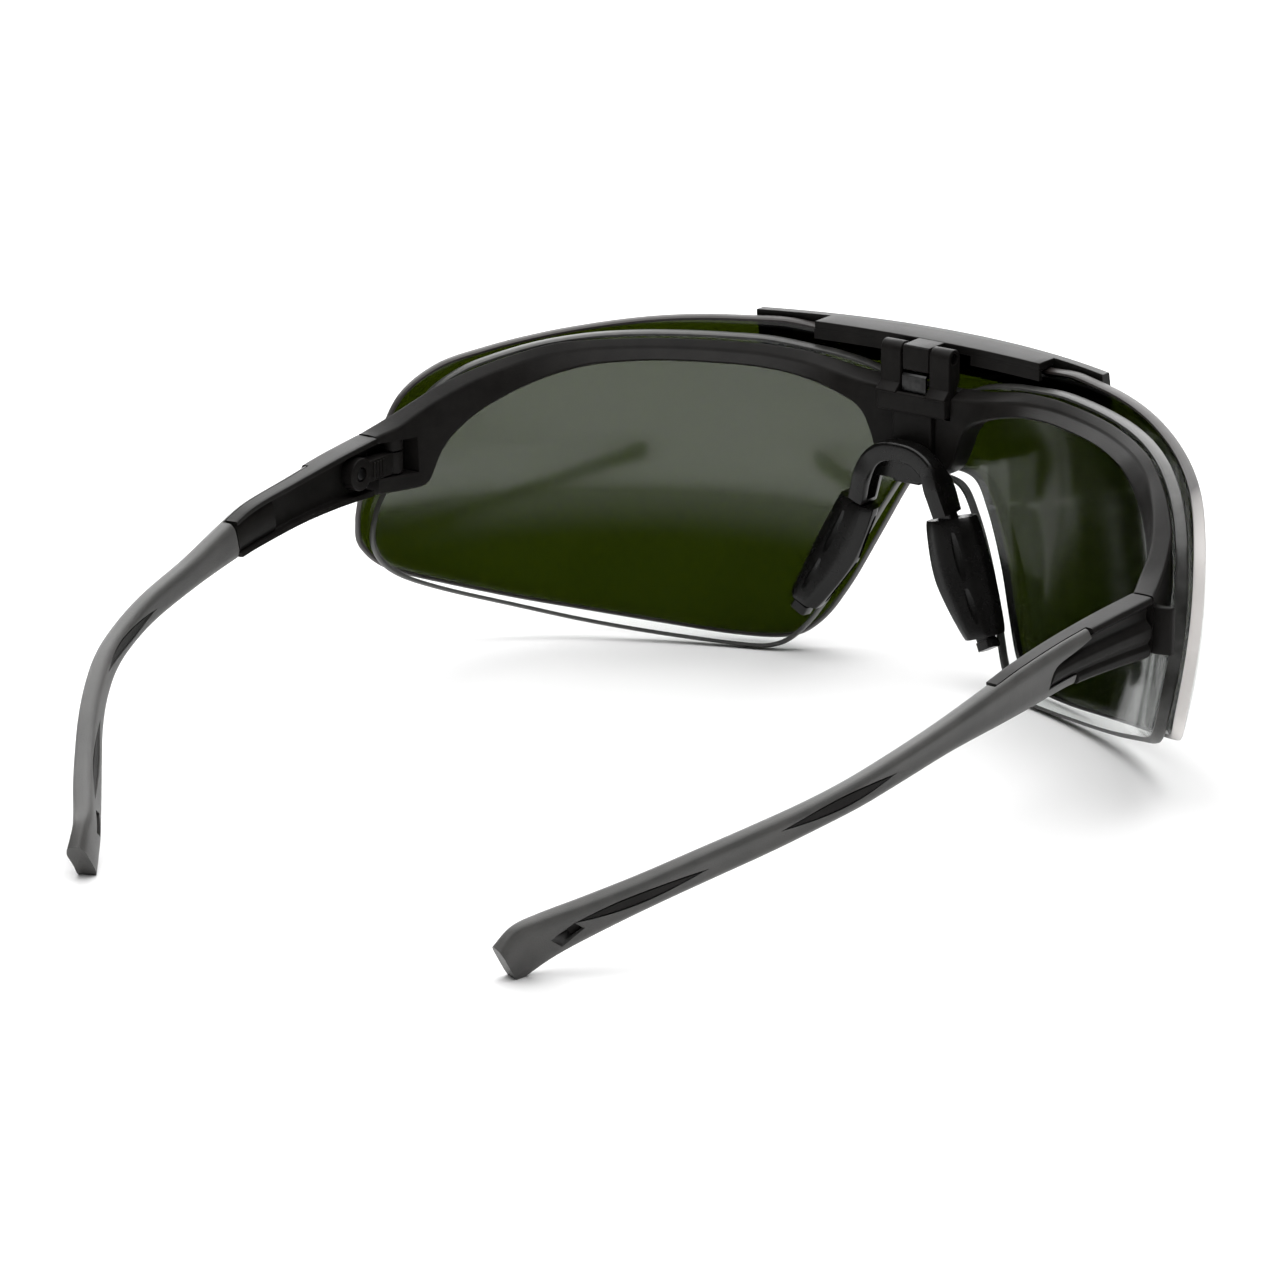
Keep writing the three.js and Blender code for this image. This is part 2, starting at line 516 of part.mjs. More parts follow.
// Rounded full section, and the channel section of the hard front part, open on the inside.
const FULL = [[-1, -0.55], [-0.6, -1], [0.6, -1], [1, -0.6], [0.9, 0], [1, 0.6], [0.6, 1],
  [-0.6, 1], [-1, 0.65]];
const CHANNEL = [[-1, -1], [0.7, -1], [1, -0.86], [1, -0.66], [0.75, -0.5], [1, -0.3], [1, 0.02],
  [0.45, 0.26], [0.45, 0.62], [1, 0.82], [0.8, 1], [-1, 1], [-1, 0.76], [-0.15, 0.76],
  [-0.15, -0.78], [-1, -0.78]];
const scaled = (outline, a, b) => outline.map(([across, up]) => [across * a, up * b]);
const CORE_BAR = [[-0.45, -0.4], [0.45, -0.4], [0.45, 0.4], [-0.45, 0.4]];

/** Leaf-shaped outline along the temple, from one station to another, as rings of the core. */
function leaf(from, to, across, half) {
  const outline = (station) => {
    const s = (station - from) / (to - from);
    const swell = Math.max(0.02, Math.sin(Math.PI * s)) * half;
    const middle = 0.32 * s;
    return [[-across, middle - swell], [across, middle - swell], [across, middle + swell],
      [-across, middle + swell]];
  };
  return templeLoft(from, to, 6, outline);
}

const LEAVES = [[6.2, 8.5, 0.32], [10.1, 12.3, 0.26]];

function templeCore() {
  const channel = templeLoft(0, GRIP_START - 0.08, 6, CHANNEL);
  const plug = templeLoft(2.6, GRIP_START - 0.08, 3, scaled(FULL, 0.8, 0.8));
  const bar = templeLoft(3, 12.6, 13, CORE_BAR);
  const leaves = LEAVES.map(([from, to, half]) => leaf(from, to, 0.93, half));
  const pivotHole = alongX(disc(TILT.y, TILT.z, TILT.pinRadius + GAP), 60, TILT.holeEnd);
  return cut(joined(channel, plug, bar, ...leaves), pivotHole, fingers(1));
}

/** Front of the soft grip on the outer side: a long finger above and a short one below. */
function fingers(slack) {
  const spread = slack * 0.12;
  const upper = (station) => {
    const low = through([[1.5, 0.62], [1.9, 0.42], [2.3, 0.25], [2.75, -1.2]], station) - spread;
    return [[0.35 - spread, 0.72 - spread / 2], [0.62 - spread / 2, low + 0.08], [1.1, low],
      [1.1, 1.1], [0.35 - spread, 1.1]];
  };
  const lower = [[0.45 - spread, -1.1], [1.1, -1.1], [1.1, -0.5 + spread / 2],
    [0.62 - spread, -0.6 + spread / 2]];
  return joined(templeLoft(1.5 - slack * 0.04, GRIP_START + 0.1, 9, upper),
    templeLoft(1.9 - slack * 0.04, GRIP_START + 0.1, 4, lower));
}

function templeGrip() {
  const sleeve = templeLoft(GRIP_START, STATIONS, 20, FULL);
  const whole = templeLoft(1.4, GRIP_START + 0.2, 6, FULL);
  const front = fingers(0).intersect(whole);
  const coreRoom = templeLoft(GRIP_START - 0.5, 12.9, 13, scaled(CORE_BAR, 1.45, 1.3));
  const windows = LEAVES.map(([from, to, half]) => leaf(from - 0.12, to + 0.12, 1.3, half + 0.13));
  const slot = alongX(polygon([[102.2, -28.8], [103.8, -27.7], [106.2, -30.2], [104.6, -31.4]]),
    30, 60);
  const ground = block([20, 90, FLOOR_Z - 5], [60, 120, FLOOR_Z]);
  return cut(joined(sleeve, front), coreRoom, ...windows, slot, ground);
}

/** Link between the frame and the temple: a barrel round the fold pin and an arm with teeth. */
function hingeLink() {
  const { xIn, xOut, armRadius, pinRadius, y, z } = TILT;
  const barrel = alongZ(disc(FOLD.x, FOLD.y, FOLD.barrelRadius), FOLD.low, FOLD.high);
  const neck = block([xIn, FOLD.y, FOLD.low], [xOut, y - 2, FOLD.high]);
  const head = alongX(disc(y, z, armRadius), xIn, xOut);
  const teeth = [-1, 0, 1, 2].map((k) => block([xIn - 0.35, 0.6 + 0.75 * k - 0.22, -5.8],
    [xIn + 0.2, 0.6 + 0.75 * k + 0.22, -3.2]));
  const body = joined(barrel, neck, head, ...teeth);
  return cut(body, alongZ(disc(FOLD.x, FOLD.y, FOLD.pinRadius + GAP), -20, 10),
    alongX(disc(y, z, pinRadius + GAP), 60, 80));
}

const hingePin = () => alongZ(disc(FOLD.x, FOLD.y, FOLD.pinRadius), -8.9, KNUCKLE_TOP - GAP);
const tiltPin = () => alongX(disc(TILT.y, TILT.z, TILT.pinRadius),
  TILT.xIn + 0.1, TILT.holeEnd - GAP);

// ---------------------------------------------------------------- materials
const material = (color, roughness, metalness = 0) =>
  new THREE.MeshStandardMaterial({ color, roughness, metalness });
const BLACK = material(0x1b1a1a, 0.5);
const GREY = material(0x5f6163, 0.75);
const RUBBER = material(0x161616, 0.4);
const STEEL = material(0x9a9a98, 0.35, 1);
const CLEAR = material(0xeef2f0, 0.05);
const SHADE = material(0x10200a, 0.08);

// ---------------------------------------------------------------- assembly
function piece(name, body, surface) {
  const mesh = new THREE.Mesh(geometryOf(body), surface);
  mesh.name = name;
  return mesh;
}

function templeGroup(name, side) {
  const group = new THREE.Group();
  group.scale.x = side;
  group.add(
    piece(`temple_core_${name}`, templeCore(), BLACK),
    piece(`temple_grip_${name}`, templeGrip(), GREY),
    piece(`hinge_link_${name}`, hingeLink(), BLACK),
    piece(`hinge_pin_${name}`, hingePin(), STEEL),
    piece(`tilt_pin_${name}`, tiltPin(), STEEL),
    piece(`nose_pad_${name}`, nosePad(), RUBBER),
  );
  return group;
}

const spectacles = new THREE.Group();
spectacles.position.set(0, -MIDDLE_Y, -FLOOR_Z);
spectacles.add(
  piece("front_frame", frontFrame(), BLACK),
  piece("clear_lens", lens(CLEAR_IN, CLEAR_OUT, CLEAR_TOP, CLEAR_BOTTOM), CLEAR),
  piece("bridge_block", bridgeBlock(), BLACK),
  piece("detent_spring", detentSpring(), STEEL),
  piece("flip_pin", flipPin(), STEEL),
  piece("lens_carrier", lensCarrier(), BLACK),
  piece("shade_lens", lens(SHADE_IN, SHADE_OUT, SHADE_TOP, SHADE_BOTTOM, SHADE_SQUEEZE), SHADE),
  piece("nose_piece", nosePiece(), BLACK),
  templeGroup("left", 1),
  templeGroup("right", -1),
);

export default spectacles;
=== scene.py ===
"""Looks of a pair of flip-up safety spectacles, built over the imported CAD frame.

Every piece is modelled in millimetres from the datum that the CAD part is drawn from: the middle of
the brow, level with the tops of the temple seams. finish_piece() turns it into metres in the row
frame. +Z is up, -Y is the front of the lenses and +X is the wearer's left.
"""

import json
import math

import bmesh
import bpy
import numpy as np
from mathutils import Matrix, Vector


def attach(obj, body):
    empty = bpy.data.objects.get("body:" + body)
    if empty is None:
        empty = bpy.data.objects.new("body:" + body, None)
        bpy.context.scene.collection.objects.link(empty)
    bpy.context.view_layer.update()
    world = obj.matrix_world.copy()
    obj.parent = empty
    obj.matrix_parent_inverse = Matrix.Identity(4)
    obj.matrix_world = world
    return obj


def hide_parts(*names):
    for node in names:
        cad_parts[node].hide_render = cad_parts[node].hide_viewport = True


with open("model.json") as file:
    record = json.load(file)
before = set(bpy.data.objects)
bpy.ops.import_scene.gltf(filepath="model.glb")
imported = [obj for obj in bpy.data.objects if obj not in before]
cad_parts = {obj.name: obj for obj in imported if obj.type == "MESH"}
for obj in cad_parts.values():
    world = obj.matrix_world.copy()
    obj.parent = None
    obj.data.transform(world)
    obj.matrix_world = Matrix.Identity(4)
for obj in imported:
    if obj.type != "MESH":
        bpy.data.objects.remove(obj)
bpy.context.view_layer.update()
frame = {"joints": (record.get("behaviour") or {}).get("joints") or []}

# ---------------------------------------------------------------- driving dimensions, mm
GAP = 0.3  # between pieces that touch
JOINTS = {joint["name"]: joint for joint in frame["joints"]}
FLIP_Y, FLIP_Z = -46.0, 14.8  # the flip hinge, from the datum
FLIP_AT = Vector(JOINTS["visor_flip"]["pos_m"]) * 1000
DATUM = FLIP_AT - Vector((0, FLIP_Y, FLIP_Z))  # the datum in the row frame
FLOOR_Z = -DATUM.z

SPHERE_Y, SPHERE_Z = 33.74, -0.87  # centre of both lenses
CLEAR_IN, CLEAR_OUT = 83.3, 85.2
SHADE_IN, SHADE_OUT = 87.3, 89.1
SHADE_SQUEEZE = 0.98

EAR_RADIUS, EAR_HALF, EAR_FOOT_REAR = 1.5, 6.4, -43.1
POCKET_FRONT, POCKET_SILL, POCKET_STEP, POCKET_LOW = -46.2, 8.3, 5.3, -8  # behind the brow
STEM_HALF, STEM_REAR, STEM_LOW = 3.6, -43.8, -3
STUD_Z, STUD_RADIUS, STUD_FRONT = 3, 1, -48.4
TAB_HALF, FLIP_PIN = 2.4, 0.6
CAP_HALF, CAP_LOW, CAP_HIGH, CAP_LIP_LOW = 21, 14.9, 16.2, 13.4
CAP_REAR_MIDDLE, CAP_REAR_END, CAP_FRONT = -49.0, -47.5, 90.2
FOLD_X, FOLD_Y, FOLD_PIN, BARREL = 70.0, -4.0, 0.85, 1.6
HOUSING_IN, HOUSING_OUT, WINDOW_OUT, WINDOW_FRONT = 60, 80, 70.8, -6.9
LINK_IN, LINK_OUT, LINK_LOW, LINK_HIGH = 69.0, 71.1, -6.3, -2.9
KNUCKLE_TOP = -1  # underside of the frame above the fold hinge
TILT_Y, TILT_Z, TILT_PIN, TILT_HEAD, TILT_HOLE_END = 5.0, -4.6, 0.9, 2.6, 72.4

# Half outlines of the lenses as seen from the front, (x, z) from the middle to the end.
SHADE_TOP = [(0, 14.6), (6, 14.6), (11, 14.6), (16, 14.6), (21, 14.6), (27, 15.3), (33, 15.2),
             (40, 15.0), (47, 14.4), (54, 13.3), (60.5, 11.9), (66.5, 10.1), (71.4, 7.9),
             (75, 3.4), (76.9, -4), (77.7, -9)]
SHADE_BOTTOM = [(0, -5.3), (5.2, -6.2), (8.2, -10.5), (12, -18.2), (15.6, -26), (19, -31.4),
                (23.5, -34.1), (32, -34.4), (42, -33.3), (52, -31.5), (61, -29.2), (68.8, -26.2),
                (74.1, -23.2), (76.9, -19.4), (77.7, -15.5), (77.8, -12.2)]
CLEAR_TOP = [(0, 9), (6, 9), (10.5, 10.6), (16, 11.8), (21, 12.4), (27, 13.1), (33, 13.2),
             (40, 13.2), (46.5, 13.0), (52, 12.5), (57.5, 11.4), (62.5, 9.6), (66, 7.7),
             (69.2, 4.2), (71.1, -1.5), (71.8, -6)]
CLEAR_BOTTOM = [(0, -5.6), (5, -6.6), (8.2, -11), (12.1, -18.6), (15.7, -26.4), (18.9, -31.8),
                (22.6, -34.5), (29, -34.8), (40, -33.8), (50, -31.9), (59.5, -28.9),
                (66.2, -26), (70.5, -22.9), (72.7, -18.8), (73.1, -14), (72.5, -10)]

# The brow bar: heights and radii against the angle round the lens centre, in degrees.
BROW_TOP = [(0, 9.4), (7, 10.1), (15, 12), (21, 12.5), (29, 12.6), (37, 12.3), (42, 11.8),
            (46.4, 10.4), (50.8, 8.5), (55.3, 6), (60, 2.9), (62.6, 1.4), (65.4, 0)]
BROW_FRONT = [(0, 83), (55, 83), (57.7, 82.6), (60.1, 82.1), (62.6, 81.6), (65.4, 81.05)]
BROW_REAR_TOP = [(0, 8.4), (7, 9), (15, 10.7), (21, 11.3), (30, 11.5), (38, 11.2), (43.5, 10.2),
                 (49, 8.2), (53.7, 5.8), (56, 4.4), (58.6, 2.8), (61.3, 1.1), (64.3, 0)]
BROW_REAR = [(0, 79), (6, 79.3), (10, 79.9), (17, 81), (22, 81.2), (44, 81.2), (49, 80.7),
             (53.6, 80.1), (56, 79.7), (58.6, 79), (61.3, 78.1), (64.3, 77.7)]
BROW_LOW = [(0, -4.6), (3, -4.2), (4.6, -2.8), (5.5, -0.6), (6.1, 1.8), (6.9, 4), (8.1, 5.5),
            (10, 6.6), (12.4, 7.7), (17, 9), (21.7, 9.5), (30, 9.6), (37.5, 9), (42, 7.7),
            (46.7, 5.3), (49.1, 3.7), (51.5, 1.8), (53.8, -0.6), (55.6, -3.4), (56.6, -6),
            (57.3, -8.3), (58.4, -9.1), (61, -9.2), (65, -9.2)]
BROW_INNER = [(0, 78.2), (8, 78.5), (17, 79.2), (44, 79.3), (57, 79), (61, 78.2),
              (64.3, 77.7)]
BROW_END = 65.6

# The left temple: rails through the middle of its thickness, (x, y, z), and its half widths.
RAIL_TOP = [(71.9, 0.3, 0), (71.5, 10, -0.8), (71, 20.5, -2), (70.9, 30.5, -3.4), (70.4, 37, -5),
            (69.1, 48, -8), (67.9, 58.8, -10.4), (66.2, 67, -12.5), (63.8, 74.5, -14.5),
            (60.2, 81.5, -16.7), (55.6, 89, -19.4), (50.8, 95.8, -22.2), (46, 102, -24.6),
            (41.6, 107.2, -26.6), (39.5, 110.4, -27.9), (38.4, 113, -30.5)]
RAIL_BOTTOM = [(71.9, 1.2, -9.2), (71.5, 10, -8.9), (71, 19.5, -9.1), (70.8, 29, -10.1),
               (70.4, 35.5, -10.9), (69.3, 46.3, -12.4), (68.1, 57.2, -14.5), (66.6, 65, -16.4),
               (64.1, 72.2, -18.3), (60.6, 79.1, -20.7), (56.2, 85.6, -23.3), (51, 92.2, -26.4),
               (46.3, 98.2, -29.5), (42.2, 103.6, -32.6), (39.8, 106.8, -35),
               (38.5, 108.9, -36.4)]
RAIL_WIDTH = list(enumerate([2.1, 2.05, 1.85, 1.75, 1.65, 1.55, 1.5, 1.5, 1.5, 1.5, 1.5, 1.55,
                             1.6, 1.6, 1.4, 1.55]))
GRIP_START = 4  # rail station where the soft grip takes over the whole section
LEAVES = [(6.2, 8.5, 0.32), (10.1, 12.3, 0.26)]  # windows in the grip: from, to, half height


# ---------------------------------------------------------------- curves
def through(table, t):
    """Smooth value without overshoot through (t, value) pairs, read at t."""
    last = len(table) - 1
    if t <= table[0][0]:
        return table[0][1]
    if t >= table[last][0]:
        return table[last][1]
    i = max(k for k in range(last) if table[k][0] <= t)

    def rise(k):
        return (table[k + 1][1] - table[k][1]) / (table[k + 1][0] - table[k][0])

    def slope(k):
        if k in (0, last):
            return rise(min(k, last - 1))
        a, b = rise(k - 1), rise(k)
        return 0 if a * b <= 0 else 2 * a * b / (a + b)

    span = table[i + 1][0] - table[i][0]
    s = (t - table[i][0]) / span
    return (table[i][1] * (2 * s**3 - 3 * s**2 + 1) + slope(i) * span * (s**3 - 2 * s**2 + s)
            + table[i + 1][1] * (3 * s**2 - 2 * s**3) + slope(i + 1) * span * (s**3 - s**2))


def curve(points, t):
    """Point of a smooth curve through points, with t from 0 at the first to 1 at the last."""
    p = np.asarray(points, float)
    last = len(p) - 1
    s = min(max(t, 0), 1) * last
    i = min(int(s), last - 1)
    u = s - i
    a, b, c, d = (p[min(max(i + k, 0), last)] for k in (-1, 0, 1, 2))
    bend = 2 * a - 5 * b + 4 * c - d + u * (3 * (b - c) + d - a)
    return Vector(b + 0.5 * u * (c - a + u * bend))


def tangent(points, t, step=1e-3):
    return (curve(points, min(t + step, 1)) - curve(points, max(t - step, 0))).normalized()


def rounded(ring, share=0.25, steps=3):
    """The closed outline with each corner cut back by a share of its sides and rounded."""
    made = []
    for i, corner in enumerate(ring):
        corner = Vector(corner)
        before = corner.lerp(Vector(ring[i - 1]), share)
        after = corner.lerp(Vector(ring[(i + 1) % len(ring)]), share)
        for k in range(steps + 1):
            s = k / steps
            made.append(before.lerp(corner, s).lerp(corner.lerp(after, s), s))
    return made


def circle(a, b, radius, steps=32):
    turns = [2 * math.pi * k / steps for k in range(steps)]
    return [(a + radius * math.cos(t), b + radius * math.sin(t)) for t in turns]


# ---------------------------------------------------------------- solids
def solid_object(bm):
    """A temporary object from a bmesh, with its faces turned outwards."""
    bmesh.ops.recalc_face_normals(bm, faces=bm.faces)
    mesh = bpy.data.meshes.new("solid")
    bm.to_mesh(mesh)
    bm.free()
    made = bpy.data.objects.new("solid", mesh)
    bpy.context.scene.collection.objects.link(made)
    return made


def solid(points, faces):
    bm = bmesh.new()
    verts = [bm.verts.new(p) for p in points]
    for face in faces:
        bm.faces.new([verts[k] for k in face])
    return solid_object(bm)


def skin(rings):
    """Closed surface stretched over rings that all hold the same number of points."""
    count = len(rings[0])
    points = [p for ring in rings for p in ring]
    faces = []
    for i in range(len(rings) - 1):
        for j in range(count):
            a, b = i * count + j, i * count + (j + 1) % count
            faces.append((a, b, b + count, a + count))
    last = len(points) - count
    return solid(points, [*faces, range(count), range(last, last + count)])


def prism(outline, axis, start, end, bevel=0.0):
    """Outline extruded along an axis ("x", "y" or "z") of the two it is not drawn in."""
    bm = bmesh.new()
    place = {"x": lambda a, b, c: (c, a, b), "y": lambda a, b, c: (a, c, b),
             "z": lambda a, b, c: (a, b, c)}[axis]
    layers = [[bm.verts.new(place(a, b, c)) for a, b in outline] for c in (start, end)]
    for layer in layers:
        bm.faces.new(layer)
    count = len(outline)
    for i in range(count):
        j = (i + 1) % count
        bm.faces.new((layers[0][i], layers[0][j], layers[1][j], layers[1][i]))
    bmesh.ops.recalc_face_normals(bm, faces=bm.faces)
    sharp = [e for e in bm.edges if e.calc_face_angle(0) > math.radians(25)]
    if bevel:
        bmesh.ops.bevel(bm, geom=sharp, offset=bevel, segments=3, profile=0.5, affect="EDGES",
                        clamp_overlap=True)
    return solid_object(bm)


def block(low, high, bevel=0.0):
    corners = [(low[1], low[2]), (high[1], low[2]), (high[1], high[2]), (low[1], high[2])]
    return prism(corners, "x", low[0], high[0], bevel)


def boolean(operation, first, *others):
    """Joins or cuts the first object with the others, and removes the others."""
    for other in others:
        modifier = first.modifiers.new("boolean", "BOOLEAN")
        modifier.operation = operation
        modifier.solver = "MANIFOLD"
        modifier.object = other
        graph = bpy.context.evaluated_depsgraph_get()
        made = bpy.data.meshes.new_from_object(first.evaluated_get(graph))
        first.modifiers.clear()
        first.data = made
        bpy.data.objects.remove(other)
    return first


def joined(first, *others):
    return boolean("UNION", first, *others)


def cut(first, *others):
    return boolean("DIFFERENCE", first, *others)


def mirrored(source):
    """Copy of an object on the other side of the middle plane."""
    twin = source.copy()
    twin.data = source.data.copy()
    bpy.context.scene.collection.objects.link(twin)
    twin.data.transform(Matrix.Scale(-1, 4, (1, 0, 0)))
    twin.data.flip_normals()
    return twin


def finish_piece(made, name, body, nodes, materials, sharp=35):
    """Names a finished object, moves it to the row frame and gives it its looks and its body."""
    made.name = made.data.name = name
    made.data.transform(Matrix.Scale(0.001, 4) @ Matrix.Translation(DATUM))
    made.data.shade_smooth()
    made.data.set_sharp_from_angle(angle=math.radians(sharp))
    parts = [face.material_index for face in made.data.polygons]
    made.data.materials.clear()
    for look in materials:
        made.data.materials.append(look)
    if len(materials) > 1:
        made.data.polygons.foreach_set("material_index", parts)
    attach(made, body)
    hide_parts(*nodes)


# ---------------------------------------------------------------- materials
def mottled(name, low, high, scale, roughness, grain=0.0, grain_scale=5000, sheen=0.0,
            gloss=0.5):
    """Principled material whose colour and roughness wander, with an optional fine grain."""
    look = bpy.data.materials.new(name)
    look.use_nodes = True
    nodes, links = look.node_tree.nodes, look.node_tree.links
    shader = nodes["Principled BSDF"]
    where = nodes.new("ShaderNodeTexCoord")
    cloud = nodes.new("ShaderNodeTexNoise")
    cloud.inputs["Scale"].default_value = scale
    cloud.inputs["Detail"].default_value = 4
    links.new(where.outputs["Object"], cloud.inputs["Vector"])
    tint = nodes.new("ShaderNodeValToRGB")
    tint.color_ramp.elements[0].position = 0.35
    tint.color_ramp.elements[0].color = (*low, 1)
    tint.color_ramp.elements[1].position = 0.65
    tint.color_ramp.elements[1].color = (*high, 1)
    links.new(cloud.outputs["Fac"], tint.inputs["Fac"])
    links.new(tint.outputs["Color"], shader.inputs["Base Color"])
    spread = nodes.new("ShaderNodeMapRange")
    spread.inputs["To Min"].default_value = roughness[0]
    spread.inputs["To Max"].default_value = roughness[1]
    links.new(cloud.outputs["Fac"], spread.inputs["Value"])
    links.new(spread.outputs["Result"], shader.inputs["Roughness"])
    if grain:
        speck = nodes.new("ShaderNodeTexNoise")
        speck.inputs["Scale"].default_value = grain_scale
        speck.inputs["Detail"].default_value = 2
        links.new(where.outputs["Object"], speck.inputs["Vector"])
        bump = nodes.new("ShaderNodeBump")
        bump.inputs["Strength"].default_value = grain
        bump.inputs["Distance"].default_value = 0.0001
        links.new(speck.outputs["Fac"], bump.inputs["Height"])
        links.new(bump.outputs["Normal"], shader.inputs["Normal"])
    shader.inputs["Sheen Weight"].default_value = sheen
    shader.inputs["Specular IOR Level"].default_value = gloss
    return look


def blend(nodes, links, share, colour, other):
    """Mix of a linked colour and a fixed one."""
    mix = nodes.new("ShaderNodeMixRGB")
    links.new(share, mix.inputs["Fac"])
    links.new(colour, mix.inputs["Color1"])
    mix.inputs["Color2"].default_value = (*other, 1)
    return mix.outputs["Color"]


PAINTED_REFLECTION_FROM, PAINTED_REFLECTION_TO = -0.066, -0.075  # where the painted reflection fades in across the shade lens, in metres


def painted_reflection_end(name, low, high, pale):
    """Dark edge with a painted reflection that turns it pale at the wearer's right end."""
    look = mottled(name, low, high, 500, (0.4, 0.55))
    nodes, links = look.node_tree.nodes, look.node_tree.links
    where = nodes.new("ShaderNodeTexCoord")
    split = nodes.new("ShaderNodeSeparateXYZ")
    links.new(where.outputs["Object"], split.inputs["Vector"])
    share = nodes.new("ShaderNodeMapRange")
    share.inputs["From Min"].default_value = PAINTED_REFLECTION_FROM
    share.inputs["From Max"].default_value = PAINTED_REFLECTION_TO
    links.new(split.outputs["X"], share.inputs["Value"])
    colour = nodes["Color Ramp"].outputs["Color"]
    links.new(blend(nodes, links, share.outputs["Result"], colour, pale),
              nodes["Principled BSDF"].inputs["Base Color"])
    return look


def glass(name, low, high, shine, slanting):
    """Tinted see-through material, darker and more mirroring the flatter it is looked at."""
    look = mottled(name, low, high, 60, (0, 0))
    nodes, links = look.node_tree.nodes, look.node_tree.links
    tint = nodes["Color Ramp"].outputs["Color"]
    nodes.remove(nodes["Principled BSDF"])
    facing = nodes.new("ShaderNodeLayerWeight")
    facing.inputs["Blend"].default_value = 0.5
    longer_way = nodes.new("ShaderNodeMapRange")
    longer_way.inputs["From Max"].default_value = 0.5
    links.new(facing.outputs["Facing"], longer_way.inputs["Value"])
    through_it = nodes.new("ShaderNodeBsdfTransparent")
    links.new(blend(nodes, links, longer_way.outputs["Result"], tint, slanting),
              through_it.inputs["Color"])
    mirror = nodes.new("ShaderNodeBsdfGlossy")
    mirror.inputs["Roughness"].default_value = 0.09
    steep = nodes.new("ShaderNodeMath")
    steep.operation = "POWER"
    steep.inputs[1].default_value = 5
    links.new(facing.outputs["Facing"], steep.inputs[0])
    share = nodes.new("ShaderNodeMapRange")
    share.inputs["To Min"].default_value = shine
    share.inputs["To Max"].default_value = 1
    links.new(steep.outputs["Value"], share.inputs["Value"])
    mix = nodes.new("ShaderNodeMixShader")
    links.new(share.outputs["Result"], mix.inputs["Fac"])
    links.new(through_it.outputs["BSDF"], mix.inputs[1])
    links.new(mirror.outputs["BSDF"], mix.inputs[2])
    links.new(mix.outputs["Shader"], nodes["Material Output"].inputs["Surface"])
    return look


def metal(name, low, high):
    look = mottled(name, low, high, 900, (0.25, 0.4))
    look.node_tree.nodes["Principled BSDF"].inputs["Metallic"].default_value = 1.0
    return look


BLACK = mottled("black_nylon", (0.0085, 0.0078, 0.0073), (0.0125, 0.0115, 0.0107), 300,
                (0.38, 0.48), grain=0.3, gloss=0.09)
GREY = mottled("grey_grip", (0.05, 0.049, 0.047), (0.066, 0.064, 0.061), 250, (0.45, 0.58),
               grain=0.5, sheen=0.1, gloss=0.5)
RUBBER = mottled("nose_rubber", (0.0035, 0.0033, 0.0031), (0.0055, 0.0052, 0.0049), 300,
                 (0.22, 0.32), grain=0.12, gloss=0.3)
STEEL = metal("dark_steel", (0.03, 0.03, 0.03), (0.05, 0.05, 0.05))
CLEAR = glass("clear_polycarbonate", (0.965, 0.975, 0.968), (0.975, 0.983, 0.976), 0.035,
              (0.965, 0.975, 0.968))
SHADE = glass("shade_polycarbonate", (0.103, 0.128, 0.018), (0.111, 0.137, 0.021), 0.031,
              (0.056, 0.071, 0.011))
CLEAR_EDGE = mottled("clear_edge", (0.03, 0.03, 0.028), (0.05, 0.05, 0.047), 500, (0.35, 0.5))
# Dark edge of the shade lens, with a painted reflection that makes it pale at the wearer's right
# end.
SHADE_EDGE = painted_reflection_end("shade_edge", (0.014, 0.01, 0.009), (0.022, 0.017, 0.015),
                        (0.75, 0.72, 0.7))


# ---------------------------------------------------------------- lenses
def on_sphere(radius, x, z):
    depth = math.sqrt(radius**2 - x**2 - (z - SPHERE_Z) ** 2)
    return Vector((x, SPHERE_Y - depth, z))


def lens_column(radius_in, radius_out, side, high, low, fullness, rows):
    """Ring across the lens at one column: inner face, lower edge, outer face, upper edge."""
    centre = Vector((0, SPHERE_Y, SPHERE_Z))
    middle = (radius_in + radius_out) / 2
    half = (radius_out - radius_in) / 2 * fullness
    round_off = min(0.45 * fullness, half)
    height = (high - low).length

    def at(radius, down):
        point = high.lerp(low, down / height)
        inner = on_sphere(radius_in, side * point.x, point.y)
        return centre + (inner - centre) * (radius / radius_in)

    steps = [round_off + (height - 2 * round_off) * k / rows for k in range(rows + 1)]
    corner = [(0.3, 0.3), (1, 0)]
    ring = [at(middle - half, s) for s in steps]
    ring += [at(middle - half + a * round_off, height - b * round_off) for a, b in corner]
    ring += [at(middle + half - a * round_off, height - b * round_off)
             for a, b in reversed(corner)]
    ring += [at(middle + half, s) for s in reversed(steps)]
    ring += [at(middle + half - a * round_off, b * round_off) for a, b in corner]
    ring += [at(middle - half + a * round_off, b * round_off) for a, b in reversed(corner)]
    return ring


